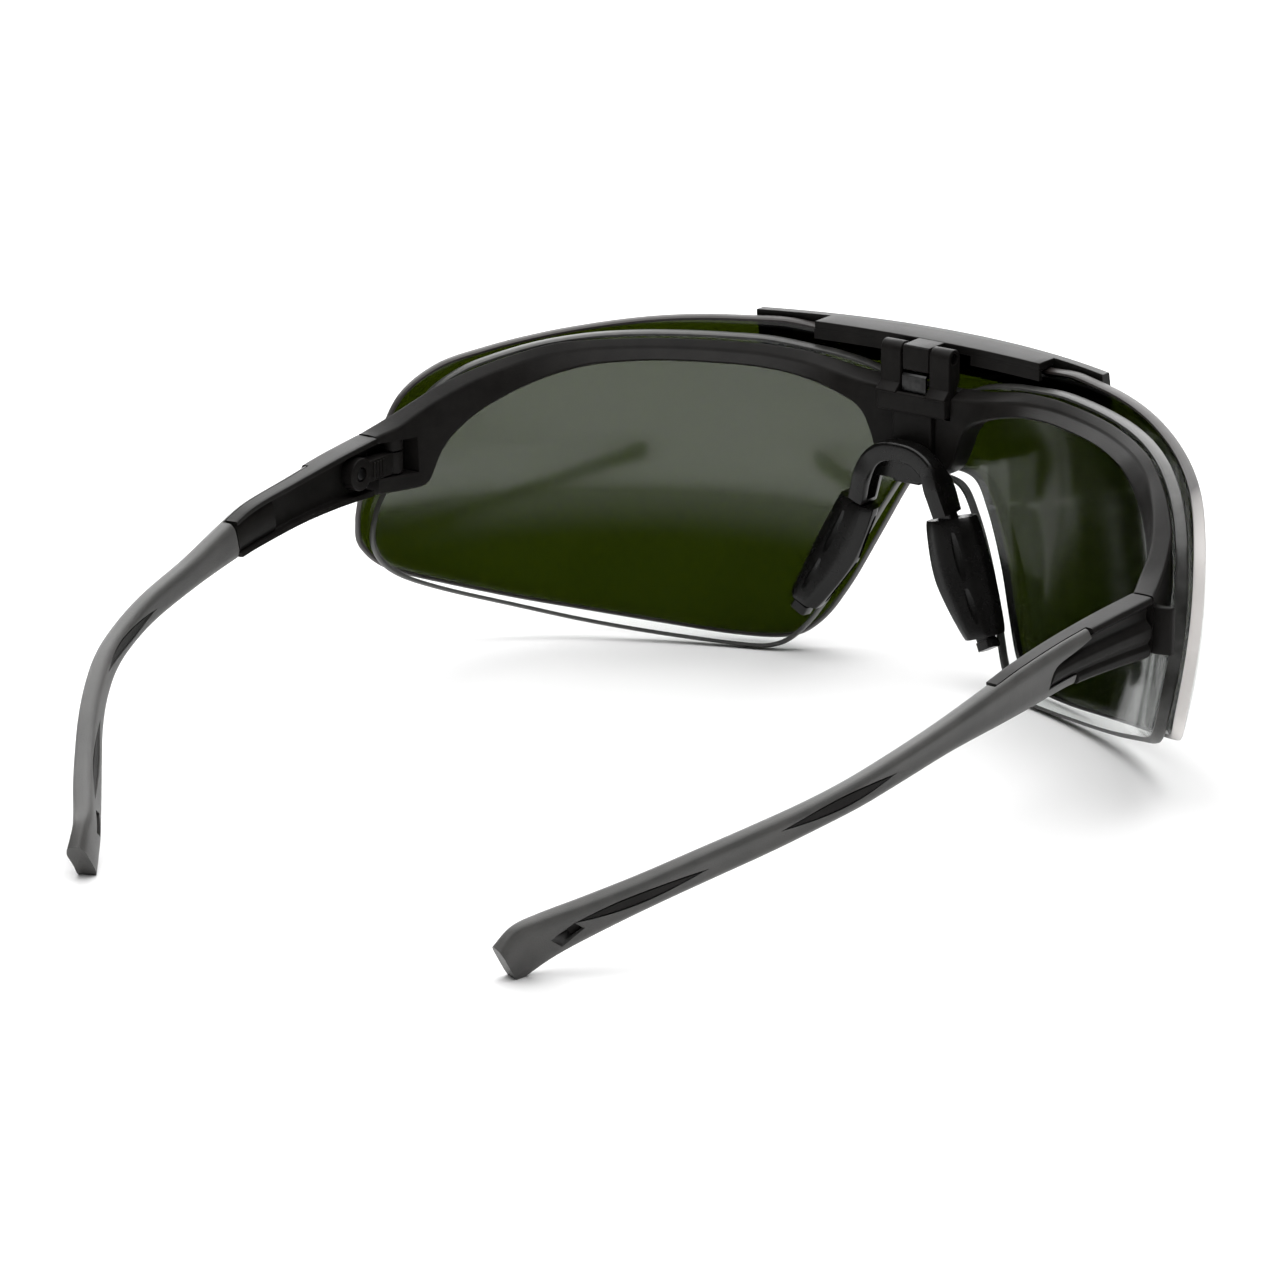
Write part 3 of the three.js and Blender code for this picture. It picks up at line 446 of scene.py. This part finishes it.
def lens(radius_in, radius_out, top, bottom, squeeze=1.0, columns=150, rows=30):
    """Lens with rounded edges, whose edge faces take the second material."""
    rim = 0.004  # share of the half width over which the ends round off
    ends = [rim * s for s in (0, 0.15, 0.4)]
    even = [k / columns for k in range(columns + 1)]
    half = [u for u in even if u <= 1 - rim] + [1 - rim] + [1 - w for w in reversed(ends)]
    turns = [-u for u in reversed(half[1:])] + half
    rings = []
    for turn in turns:
        high, low = curve(top, abs(turn)), curve(bottom, abs(turn))
        left = min((1 - abs(turn)) / rim, 1)
        fullness = 0.7 + 0.3 * math.sqrt(1 - (1 - left) ** 2)
        side = -1 if turn < 0 else 1
        ring = lens_column(radius_in, radius_out, side, high, low, fullness, rows)
        rings.append([Vector((p.x * squeeze, p.y, p.z)) for p in ring])
    made = skin(rings)
    count = len(rings[0])
    polished = {*range(rows), *range(rows + 5, 2 * rows + 5)}
    last_column = len(rings) - len(ends) - 1
    for face in made.data.polygons:
        spots = {v % count for v in face.vertices}
        columns_met = {v // count for v in face.vertices}
        lowest = min(spots)
        broad = lowest in polished and spots == {lowest, lowest + 1}
        between_ends = len(ends) <= min(columns_met) and max(columns_met) <= last_column
        face.material_index = 0 if broad and between_ends else 1
    return made


# ---------------------------------------------------------------- front frame
def around(turn, radius, z, side=1):
    """Point at an angle round the lens centre, a radius from it and a height."""
    reach = math.sqrt(radius**2 - (z - SPHERE_Z) ** 2)
    angle = math.radians(turn)
    return Vector((side * reach * math.sin(angle), SPHERE_Y - reach * math.cos(angle), z))


def brow_section(turn):
    """Section of the brow bar at an angle: front, top, rear face and underside."""
    t, side = abs(turn), -1 if turn < 0 else 1
    front, rear, inner = (through(table, t) for table in (BROW_FRONT, BROW_REAR, BROW_INNER))
    top, rear_top, low = (through(table, t) for table in (BROW_TOP, BROW_REAR_TOP, BROW_LOW))
    corners = [(front, low), (front, top - 0.3), (front - 0.3, top), (rear + 0.3, rear_top + 0.1),
               (rear, rear_top - 0.3), (inner, low + 0.4), (inner + 0.4, low)]
    return rounded([around(t, radius, z, side) for radius, z in corners], 0.12, 2)


def end_slot(side):
    """Room for the hinge link at one end of the frame."""
    low = LINK_LOW - GAP
    radius = BARREL + GAP
    near, far = sorted((side * HOUSING_IN, side * (FOLD_X + radius)))
    window_near, window_far = sorted((side * HOUSING_IN, side * WINDOW_OUT))
    return joined(block((near, FOLD_Y, low), (far, 2, KNUCKLE_TOP)),
                  block((window_near, WINDOW_FRONT, low), (window_far, 2, KNUCKLE_TOP)),
                  prism(circle(side * FOLD_X, FOLD_Y, radius), "z", low, KNUCKLE_TOP))


def end_hook(side):
    """Lug at one end of the frame that stands behind the edge of the clear lens."""
    hook = [(72, -2.6), (74.2, -1.9), (76.2, -2.2), (76.2, -0.9), (74.2, -0.4), (72, -0.4)]
    return prism([(side * x, y) for x, y in hook], "z", -8.9, -1.6, 0.35)


def brow_pockets():
    """Recesses in the brow for the bridge block: its ears, its plate, its stem and its stud."""
    ear_room, stem_room = EAR_HALF + GAP, STEM_HALF + GAP
    ahead, behind, above = -60, -30, 20
    return [
        block((-ear_room, ahead, POCKET_SILL), (ear_room, behind, above)),
        block((-ear_room, POCKET_FRONT, POCKET_STEP), (ear_room, behind, above)),
        block((-stem_room, POCKET_FRONT, POCKET_LOW), (stem_room, behind, POCKET_STEP + 0.7)),
        prism(circle(0, STUD_Z, STUD_RADIUS + GAP), "y", STUD_FRONT - 0.6, POCKET_FRONT + 1),
    ]


def front_frame():
    turns = np.linspace(-BROW_END, BROW_END, 241)
    made = cut(skin([brow_section(turn) for turn in turns]), *brow_pockets())
    for side in (-1, 1):
        near, far = sorted((side * HOUSING_IN, side * HOUSING_OUT))
        behind_seam = block((near, 0, -12), (far, 10, 5))
        made = cut(joined(made, end_hook(side)), behind_seam, end_slot(side))
        knuckle = prism(circle(side * FOLD_X, FOLD_Y, BARREL), "z", LINK_HIGH + GAP,
                        KNUCKLE_TOP + 0.2)
        pin_hole = prism(circle(side * FOLD_X, FOLD_Y, FOLD_PIN + GAP), "z", -20, KNUCKLE_TOP)
        made = cut(joined(made, knuckle), pin_hole)
    return made


# ---------------------------------------------------------------- bridge and flip hinge
def arc(a, b, radius, start, end, steps=12):
    turns = [math.radians(start + (end - start) * k / steps) for k in range(steps + 1)]
    return [(a + radius * math.cos(t), b + radius * math.sin(t)) for t in turns]


def ear_outline(radius, foot):
    """Side view of an ear, (y, z): a round top, a stem and a sloping foot behind it."""
    front = FLIP_Y - radius
    return [(front + 0.8, foot), (EAR_FOOT_REAR, foot), (EAR_FOOT_REAR, foot + 0.3),
            (FLIP_Y + radius, foot + 1.5), *arc(FLIP_Y, FLIP_Z, radius, 0, 180),
            (front, 11), (front + 0.8, 9.8)]


def bridge_block():
    front, foot = POCKET_FRONT + GAP, POCKET_STEP + GAP
    plate = joined(block((-EAR_HALF, front, foot), (EAR_HALF, -43.4, 8.8), 0.3),
                   block((-STEM_HALF, front, STEM_LOW), (STEM_HALF, STEM_REAR, foot + 0.3), 0.25))
    ears = [prism(ear_outline(EAR_RADIUS, 8.5), "x", x0, x1, 0.22)
            for x0, x1 in ((-EAR_HALF, -TAB_HALF - GAP), (TAB_HALF + GAP, EAR_HALF))]
    stud = prism(circle(0, STUD_Z, STUD_RADIUS), "y", STUD_FRONT, front + 0.2, 0.1)
    well = block((-TAB_HALF - GAP, -45.5, 7.4), (TAB_HALF + GAP, -44, 20))
    bore = prism(circle(FLIP_Y, FLIP_Z, FLIP_PIN + GAP), "x", -10, 10)
    return cut(joined(plate, *ears, stud), well, bore)


def detent_spring():
    """Leaf that stands in the well and clicks against the underside of the knuckle."""
    strip = [(-47, 11.7), (-44.6, 11.7), (-44.3, 11.4), (-44.3, 8.2), (-45.2, 8.2), (-45.2, 8.6),
             (-44.8, 8.7), (-44.8, 11.1), (-44.9, 11.2), (-47, 11.3)]
    return prism(strip, "x", -TAB_HALF + 0.2, TAB_HALF - 0.2, 0.04)


def carrier_strip(radius_in, radius_out, low, high, reach, steps=40):
    """Curved strip in front of the shade lens, from one side of the middle to the other."""
    rings = []
    for i in range(steps + 1):
        x = reach * (2 * i / steps - 1)
        corners = [(radius_in, low), (radius_in, high), (radius_out, high), (radius_out, low)]
        rings.append(rounded([on_sphere(radius, x, z) for radius, z in corners], 0.1, 3))
    return skin(rings)


def cap_outline(steps=24):
    """Outline of the cap, (x, y): its rear edge is flatter than its front edge."""
    rear, front = [], []
    for k in range(steps + 1):
        u = 2 * k / steps - 1
        rear.append((CAP_HALF * u, CAP_REAR_MIDDLE + (CAP_REAR_END - CAP_REAR_MIDDLE) * u**2))
        edge = on_sphere(CAP_FRONT, -CAP_HALF * u, CAP_HIGH)
        front.append((edge.x, edge.y))
    return rear + front


def lens_carrier():
    front = carrier_strip(SHADE_OUT + GAP, 91.2, 9.6, CAP_HIGH, 32.3)
    cap = prism(cap_outline(), "z", CAP_LOW, CAP_HIGH, 0.2)
    behind_lens = lens(SHADE_IN - 1.2, SHADE_OUT + 9, [(x, 20) for x, _ in SHADE_TOP],
                       SHADE_BOTTOM, 1, 60, 6)
    lip = cut(prism(cap_outline(), "z", CAP_LIP_LOW, CAP_LOW + 0.1), behind_lens,
              block((-EAR_HALF - 1, -60, 10), (EAR_HALF + 1, -40, CAP_LOW)))
    knuckle = [(-53, 12.3), (-48, 12.3), (-47.2, 12.1), (-44.9, 12.1), (-44.7, 12.3),
               (-44.7, 15.8), (-45, 16.1), (-53, CAP_HIGH)]
    tab = prism(knuckle, "x", -TAB_HALF, TAB_HALF, 0.12)
    ear_rooms = [prism(circle(FLIP_Y, FLIP_Z, EAR_RADIUS + 0.4), "x", x0, x1)
                 for x0, x1 in ((-EAR_HALF - GAP, -TAB_HALF), (TAB_HALF, EAR_HALF + GAP))]
    shade_room = lens(SHADE_IN - GAP, SHADE_OUT + GAP, [(x, z + GAP) for x, z in SHADE_TOP],
                      SHADE_BOTTOM, SHADE_SQUEEZE, 60, 6)
    bore = prism(circle(FLIP_Y, FLIP_Z, FLIP_PIN + GAP), "x", -10, 10)
    return cut(joined(front, cap, lip, tab), shade_room, *ear_rooms, bore)


# ---------------------------------------------------------------- nose piece
# Left half of the arch, from the middle of its top to the tip of the stub below the pad.
NOSE_ARM = [(0, -41.1, 0.3), (3, -41.1, -0.1), (5.4, -41.2, -1.9), (6.8, -41.7, -5),
            (8.1, -42.1, -9), (10.3, -41.9, -13.5), (12.2, -41.1, -18), (14.5, -40.4, -22.3),
            (16.6, -39.9, -25.7), (17.8, -39.6, -27.9)]
ARCH = [(-x, y, z) for x, y, z in reversed(NOSE_ARM[1:])] + NOSE_ARM

# Half sizes of the arch against the share of its half length, and where the pad holds it.
ARM_HALF_WIDE = 1.5
ARM_HALF_DEEP = [(0, 1.5), (0.2, 1.6), (0.33, 2.5), (0.44, 2.3)]
HELD_FROM, HELD_TO, HELD_WIDE, HELD_DEEP = 0.436, 0.925, 1.3, 1.1
STUB_HALF = 1.4

# Edges of the left pad from top to bottom: next to the lens, and against the nose.
PAD_OUTER = [(12.2, -43.2, -8.4), (16.4, -41.9, -17.2), (19.6, -40.2, -25.2)]
PAD_INNER = [(4.8, -41.6, -10), (7.8, -40.2, -18.8), (13.9, -39.4, -27)]
PAD_SECTION = [(-1, -0.3), (-0.7, -0.9), (0.6, -1), (1, -0.6), (1, 0.4), (0.6, 0.9), (-0.5, 1),
               (-1, 0.5)]
PAD_HALF_DEEP = 2.2


def arm_section(share, low, high, round_off=0.2):
    """Rounded rectangle across the arch; corners are (away from the nose, towards the rear)."""
    t = 0.5 + share / 2
    at, along = curve(ARCH, t), tangent(ARCH, t)
    deep = Vector((0, 1, 0)) - along * along.y
    deep.normalize()
    wide = along.cross(deep)
    corners = [low, (high[0], low[1]), high, (low[0], high[1])]
    return rounded([at + wide * w + deep * d for w, d in corners], round_off, 3)


def arm_halves(share):
    """Half width and half depth of the arch at a share of its half length."""
    if share > HELD_TO:
        return STUB_HALF, STUB_HALF
    if share > HELD_FROM:
        return HELD_WIDE, HELD_DEEP
    return ARM_HALF_WIDE, through(ARM_HALF_DEEP, share)


def arm_shares(end):
    """Shares from one end of a stretch of the arch to the other, close together at its steps."""
    half = [*np.linspace(0, HELD_FROM, 33), HELD_FROM + 0.004,
            *np.linspace(HELD_FROM + 0.02, HELD_TO, 24), HELD_TO + 0.004, 0.97, 1]
    half = [share for share in half if share <= end]
    return [-share for share in reversed(half[1:])] + half


def nose_piece():
    arch, groove = [], []
    for share in arm_shares(1):
        w, d = arm_halves(abs(share))
        arch.append(arm_section(share, (-w, -d), (w, d)))
    for share in arm_shares(HELD_FROM - 0.01):
        w, d = arm_halves(abs(share))
        groove.append(arm_section(share, (-w - 1, -d / 2), (0.2, d / 2), 0.08))
    web = prism([(-6, -4.6), (6, -4.6), (4.4, -1.2), (0, 0.8), (-4.4, -1.2)], "y", -42.8, -42,
                0.1)
    key = block((-2.4, -44.6, -5.2), (2.4, -42.5, -3.4), 0.15)
    return joined(cut(skin(arch), skin(groove)), web, key)


def pad_ring(share, corners, full=1.0):
    """Outline across the pad at a share of its length; corners run from -1 to 1."""
    outer, inner = curve(PAD_OUTER, share), curve(PAD_INNER, share)
    middle, wide = (outer + inner) / 2, (outer - inner) / 2
    return [middle + wide * (w * full) + Vector((0, d * PAD_HALF_DEEP * full, 0))
            for w, d in corners]


def pad_pocket(start, end, low, high):
    """Boat-shaped recess in the pad, between two shares of its length."""
    rings = []
    (w, d), (half_w, half_d) = [((high[0] + sign * low[0]) / 2, (high[1] + sign * low[1]) / 2)
                                for sign in (1, -1)]
    for s in np.linspace(0, 1, 13):
        swell = math.sin(math.pi * (0.04 + 0.92 * s)) ** 0.5
        corners = [(w + a * half_w * swell, d + b * half_d * swell)
                   for a, b in ((-1, -1), (1, -1), (1, 1), (-1, 1))]
        rings.append(pad_ring(start + (end - start) * s, corners))
    return skin(rings)


def nose_pad():
    steps = 40
    rings = []
    for i in range(steps + 1):
        full = 1 - 0.06 * abs(2 * i / steps - 1) ** 8
        rings.append(rounded(pad_ring(i / steps, PAD_SECTION, full), 0.2, 3))
    w, d = HELD_WIDE + GAP, HELD_DEEP + GAP
    bore = [arm_section(share, (-w, -d), (w, d), 0.1) for share in np.linspace(0.4, 1, 40)]
    pockets = [pad_pocket(0.1, 0.46, (-1.2, -0.55), (-0.8, 0.2)),
               pad_pocket(0.5, 0.9, (-1.2, -0.5), (-0.8, 0.25)),
               pad_pocket(0.14, 0.5, (0.1, 0.78), (0.42, 1.2)),
               pad_pocket(0.56, 0.84, (0.1, 0.78), (0.42, 1.2))]
    return cut(skin(rings), skin(bore), *pockets)


# ---------------------------------------------------------------- temples
STATIONS = len(RAIL_TOP) - 1
FULL = [(-1, -0.55), (-0.6, -1), (0.6, -1), (1, -0.6), (0.9, 0), (1, 0.6), (0.6, 1), (-0.6, 1),
        (-1, 0.65)]
CHANNEL = [(-1, -1), (0.7, -1), (1, -0.86), (1, -0.66), (0.75, -0.5), (1, -0.3), (1, 0.02),
           (0.45, 0.26), (0.45, 0.62), (1, 0.82), (0.8, 1), (-1, 1), (-1, 0.76), (-0.15, 0.76),
           (-0.15, -0.78), (-1, -0.78)]
CORE_BAR = [(-0.45, -0.4), (0.45, -0.4), (0.45, 0.4), (-0.45, 0.4)]


def scaled(outline, a, b):
    return [(across * a, up * b) for across, up in outline]


def temple_ring(station, outline):
    """Ring across the temple at a station; outline holds (across, up) from -1 to 1."""
    t = station / STATIONS
    top, bottom = curve(RAIL_TOP, t), curve(RAIL_BOTTOM, t)
    along = tangent(RAIL_TOP, t) + tangent(RAIL_BOTTOM, t)
    middle, up = (top + bottom) / 2, (top - bottom) / 2
    out = along.cross(up).normalized() * through(RAIL_WIDTH, station)
    return [middle + out * across + up * rise for across, rise in outline]


def temple_loft(start, end, steps, outline):
    rings = []
    for i in range(steps + 1):
        station = start + (end - start) * i / steps
        rings.append(temple_ring(station, outline(station) if callable(outline) else outline))
    return skin(rings)


def leaf(start, end, across, half):
    """Leaf-shaped bar through the temple, pointed at both ends."""

    def outline(station):
        s = (station - start) / (end - start)
        swell = max(0.02, math.sin(math.pi * s)) * half
        middle = 0.32 * s
        return [(-across, middle - swell), (across, middle - swell), (across, middle + swell),
                (-across, middle + swell)]

    return temple_loft(start, end, 24, outline)


def fingers(slack):
    """Front of the soft grip on the outer side: a long finger above and a short one below."""
    spread = slack * 0.12

    def upper(station):
        low = through([(1.5, 0.62), (1.9, 0.42), (2.3, 0.25), (2.75, -1.2)], station) - spread
        return [(0.35 - spread, 0.72 - spread / 2), (0.62 - spread / 2, low + 0.08), (1.1, low),
                (1.1, 1.1), (0.35 - spread, 1.1)]

    lower = [(0.45 - spread, -1.1), (1.1, -1.1), (1.1, -0.5 + spread / 2),
             (0.62 - spread, -0.6 + spread / 2)]
    return joined(temple_loft(1.5 - slack * 0.04, GRIP_START + 0.1, 40, upper),
                  temple_loft(1.9 - slack * 0.04, GRIP_START + 0.1, 20, lower))


def temple_core():
    channel = temple_loft(0, GRIP_START - 0.08, 40, rounded(CHANNEL, 0.2, 3))
    plug = temple_loft(2.6, GRIP_START - 0.08, 8, scaled(FULL, 0.8, 0.8))
    bar = temple_loft(3, 12.6, 60, CORE_BAR)
    leaves = [leaf(start, end, 0.93, half) for start, end, half in LEAVES]
    bore = prism(circle(TILT_Y, TILT_Z, TILT_PIN + GAP), "x", HOUSING_IN, TILT_HOLE_END)
    return cut(joined(channel, plug, bar, *leaves), bore, fingers(1))


def temple_grip():
    full = rounded(FULL, 0.3, 3)
    sleeve = temple_loft(GRIP_START, STATIONS, 130, full)
    front = boolean("INTERSECT", fingers(0), temple_loft(1.4, GRIP_START + 0.2, 30, full))
    core_room = temple_loft(GRIP_START - 0.5, 12.9, 60, scaled(CORE_BAR, 1.45, 1.3))
    windows = [leaf(start - 0.12, end + 0.12, 1.3, half + 0.13) for start, end, half in LEAVES]
    slot = prism([(102.2, -28.8), (103.8, -27.7), (106.2, -30.2), (104.6, -31.4)], "x", 30, 60)
    ground = block((20, 90, FLOOR_Z - 5), (60, 120, FLOOR_Z))
    return cut(joined(sleeve, front), core_room, *windows, slot, ground)


def hinge_link():
    """Link between the frame and the temple: a barrel round the fold pin and an arm with teeth."""
    barrel = prism(circle(FOLD_X, FOLD_Y, BARREL), "z", LINK_LOW, LINK_HIGH, 0.15)
    neck = block((LINK_IN, FOLD_Y, LINK_LOW), (LINK_OUT, TILT_Y - 2, LINK_HIGH), 0.15)
    head = prism(circle(TILT_Y, TILT_Z, TILT_HEAD), "x", LINK_IN, LINK_OUT, 0.2)
    first, pitch, half = -0.15, 0.75, 0.22
    teeth = []
    for y in (first + pitch * k for k in range(4)):
        teeth.append(block((LINK_IN - 0.35, y - half, -5.8), (LINK_IN + 0.2, y + half, -3.2),
                           0.06))
    return cut(joined(barrel, neck, head, *teeth),
               prism(circle(FOLD_X, FOLD_Y, FOLD_PIN + GAP), "z", -20, 10),
               prism(circle(TILT_Y, TILT_Z, TILT_PIN + GAP), "x", HOUSING_IN, HOUSING_OUT))


# ---------------------------------------------------------------- pieces
finish_piece(lens(SHADE_IN, SHADE_OUT, SHADE_TOP, SHADE_BOTTOM, SHADE_SQUEEZE), "shade_lens_look",
             "flip_visor", ["shade_lens"], [SHADE, SHADE_EDGE])
finish_piece(lens(CLEAR_IN, CLEAR_OUT, CLEAR_TOP, CLEAR_BOTTOM), "clear_lens_look", "frame",
             ["clear_lens"], [CLEAR, CLEAR_EDGE])
finish_piece(front_frame(), "front_frame_look", "frame", ["front_frame"], [BLACK])
finish_piece(bridge_block(), "bridge_block_look", "frame", ["bridge_block"],
             [BLACK])
finish_piece(detent_spring(), "detent_spring_look", "frame", ["detent_spring"], [STEEL])
flip_pin = prism(circle(FLIP_Y, FLIP_Z, FLIP_PIN), "x", 0.2 - EAR_HALF, EAR_HALF - 0.2, 0.1)
finish_piece(flip_pin, "flip_pin_look", "frame", ["flip_pin"], [STEEL])
finish_piece(lens_carrier(), "lens_carrier_look", "flip_visor", ["lens_carrier"],
             [BLACK])
finish_piece(nose_piece(), "nose_piece_look", "frame", ["nose_piece"], [RUBBER])

LEFT_PIECES = [
    (nose_pad(), "nose_pad", "frame", "nose_rubber", RUBBER),
    (temple_core(), "temple_core", "temple", "frame_black", BLACK),
    (temple_grip(), "temple_grip", "temple", "grip_grey", GREY),
    (hinge_link(), "hinge_link", "hinge", "frame_black", BLACK),
    (prism(circle(FOLD_X, FOLD_Y, FOLD_PIN), "z", -8.9, KNUCKLE_TOP - GAP, 0.1), "hinge_pin",
     "frame", "steel", STEEL),
    (prism(circle(TILT_Y, TILT_Z, TILT_PIN), "x", LINK_IN + 0.1, TILT_HOLE_END - GAP, 0.1),
     "tilt_pin", "hinge", "steel", STEEL),
]
for made, kind, part, slot, look in LEFT_PIECES:
    for side, shape in (("left", made), ("right", mirrored(made))):
        body = part if part == "frame" else f"{part}_{side}"
        finish_piece(shape, f"{kind}_{side}_look", body, [f"{kind}_{side}"], [look])


# ---------------------------------------------------------------- camera and studio
def add_camera():
    """Camera behind the spectacles, from the right and above."""
    azimuth, elevation, distance = math.radians(216.34), math.radians(17.01), 1.485
    aim = Vector((-0.00126, 0.00011, 0.02287))
    back = Vector((math.sin(azimuth) * math.cos(elevation),
                   -math.cos(azimuth) * math.cos(elevation), math.sin(elevation)))
    data = bpy.data.cameras.new("camera")
    data.sensor_width = 36
    data.lens = 281.25
    camera = bpy.data.objects.new("camera", data)
    camera.location = aim + back * distance
    camera.rotation_mode = "QUATERNION"
    camera.rotation_quaternion = (-back).to_track_quat("-Z", "Y")
    bpy.context.scene.collection.objects.link(camera)
    bpy.context.scene.camera = camera
    return back


def add_panel(name, direction, distance, size, power, aim=Vector((0, 0, 0.02))):
    """Soft square light in a direction from the spectacles, facing them."""
    data = bpy.data.lights.new(name, "AREA")
    data.shape = "RECTANGLE"
    data.size, data.size_y = size
    data.energy = power
    lamp = bpy.data.objects.new(name, data)
    towards = Vector(direction).normalized()
    lamp.location = aim + towards * distance
    lamp.rotation_mode = "QUATERNION"
    lamp.rotation_quaternion = (-towards).to_track_quat("-Z", "Y")
    lamp.visible_camera = False
    bpy.context.scene.collection.objects.link(lamp)


def add_floor(half=4.0):
    corners = [(-half, -half), (half, -half), (half, half), (-half, half)]
    mesh = bpy.data.meshes.new("floor")
    mesh.from_pydata([(x, y, 0) for x, y in corners], [], [(0, 1, 2, 3)])
    floor = bpy.data.objects.new("floor", mesh)
    mesh.materials.append(mottled("floor_white", (0.9, 0.9, 0.9), (0.92, 0.92, 0.92), 3,
                                  (0.7, 0.8)))
    bpy.context.scene.collection.objects.link(floor)


def add_world(horizon, high, glow):
    """Dim surroundings, brightest at the horizon, with a wide pale glow behind the wearer."""
    world = bpy.data.worlds.new("studio")
    bpy.context.scene.world = world
    world.use_nodes = True
    nodes, links = world.node_tree.nodes, world.node_tree.links
    where = nodes.new("ShaderNodeTexCoord")
    split = nodes.new("ShaderNodeSeparateXYZ")
    links.new(where.outputs["Generated"], split.inputs["Vector"])
    toward = nodes.new("ShaderNodeVectorMath")
    toward.operation = "DOT_PRODUCT"
    toward.inputs[1].default_value = (-0.25, 0.97, 0)
    links.new(where.outputs["Generated"], toward.inputs[0])
    behind = nodes.new("ShaderNodeMapRange")
    behind.interpolation_type = "SMOOTHSTEP"
    behind.inputs["From Min"].default_value = 0.3
    behind.inputs["From Max"].default_value = 0.75
    behind.inputs["To Min"].default_value = horizon
    behind.inputs["To Max"].default_value = glow
    links.new(toward.outputs["Value"], behind.inputs["Value"])
    fade = nodes.new("ShaderNodeMapRange")
    fade.interpolation_type = "SMOOTHSTEP"
    fade.inputs["From Min"].default_value = -0.02
    fade.inputs["From Max"].default_value = 0.17
    fade.inputs["To Max"].default_value = high
    links.new(split.outputs["Z"], fade.inputs["Value"])
    links.new(behind.outputs["Result"], fade.inputs["To Min"])
    links.new(fade.outputs["Result"], nodes["Background"].inputs["Color"])


camera_back = add_camera()
add_floor()
add_world(0.14, 0.006, 0.5)
add_panel("overhead", (0, 0, 1), 1.6, (2.4, 2.4), 52)
far_side = Vector((-camera_back.x, -camera_back.y, 0)).normalized()
add_panel("far_panel", far_side + Vector((0, 0, 0.45)), 1.6, (2.2, 1.1), 34)
bpy.context.scene.view_settings.view_transform = "Standard"
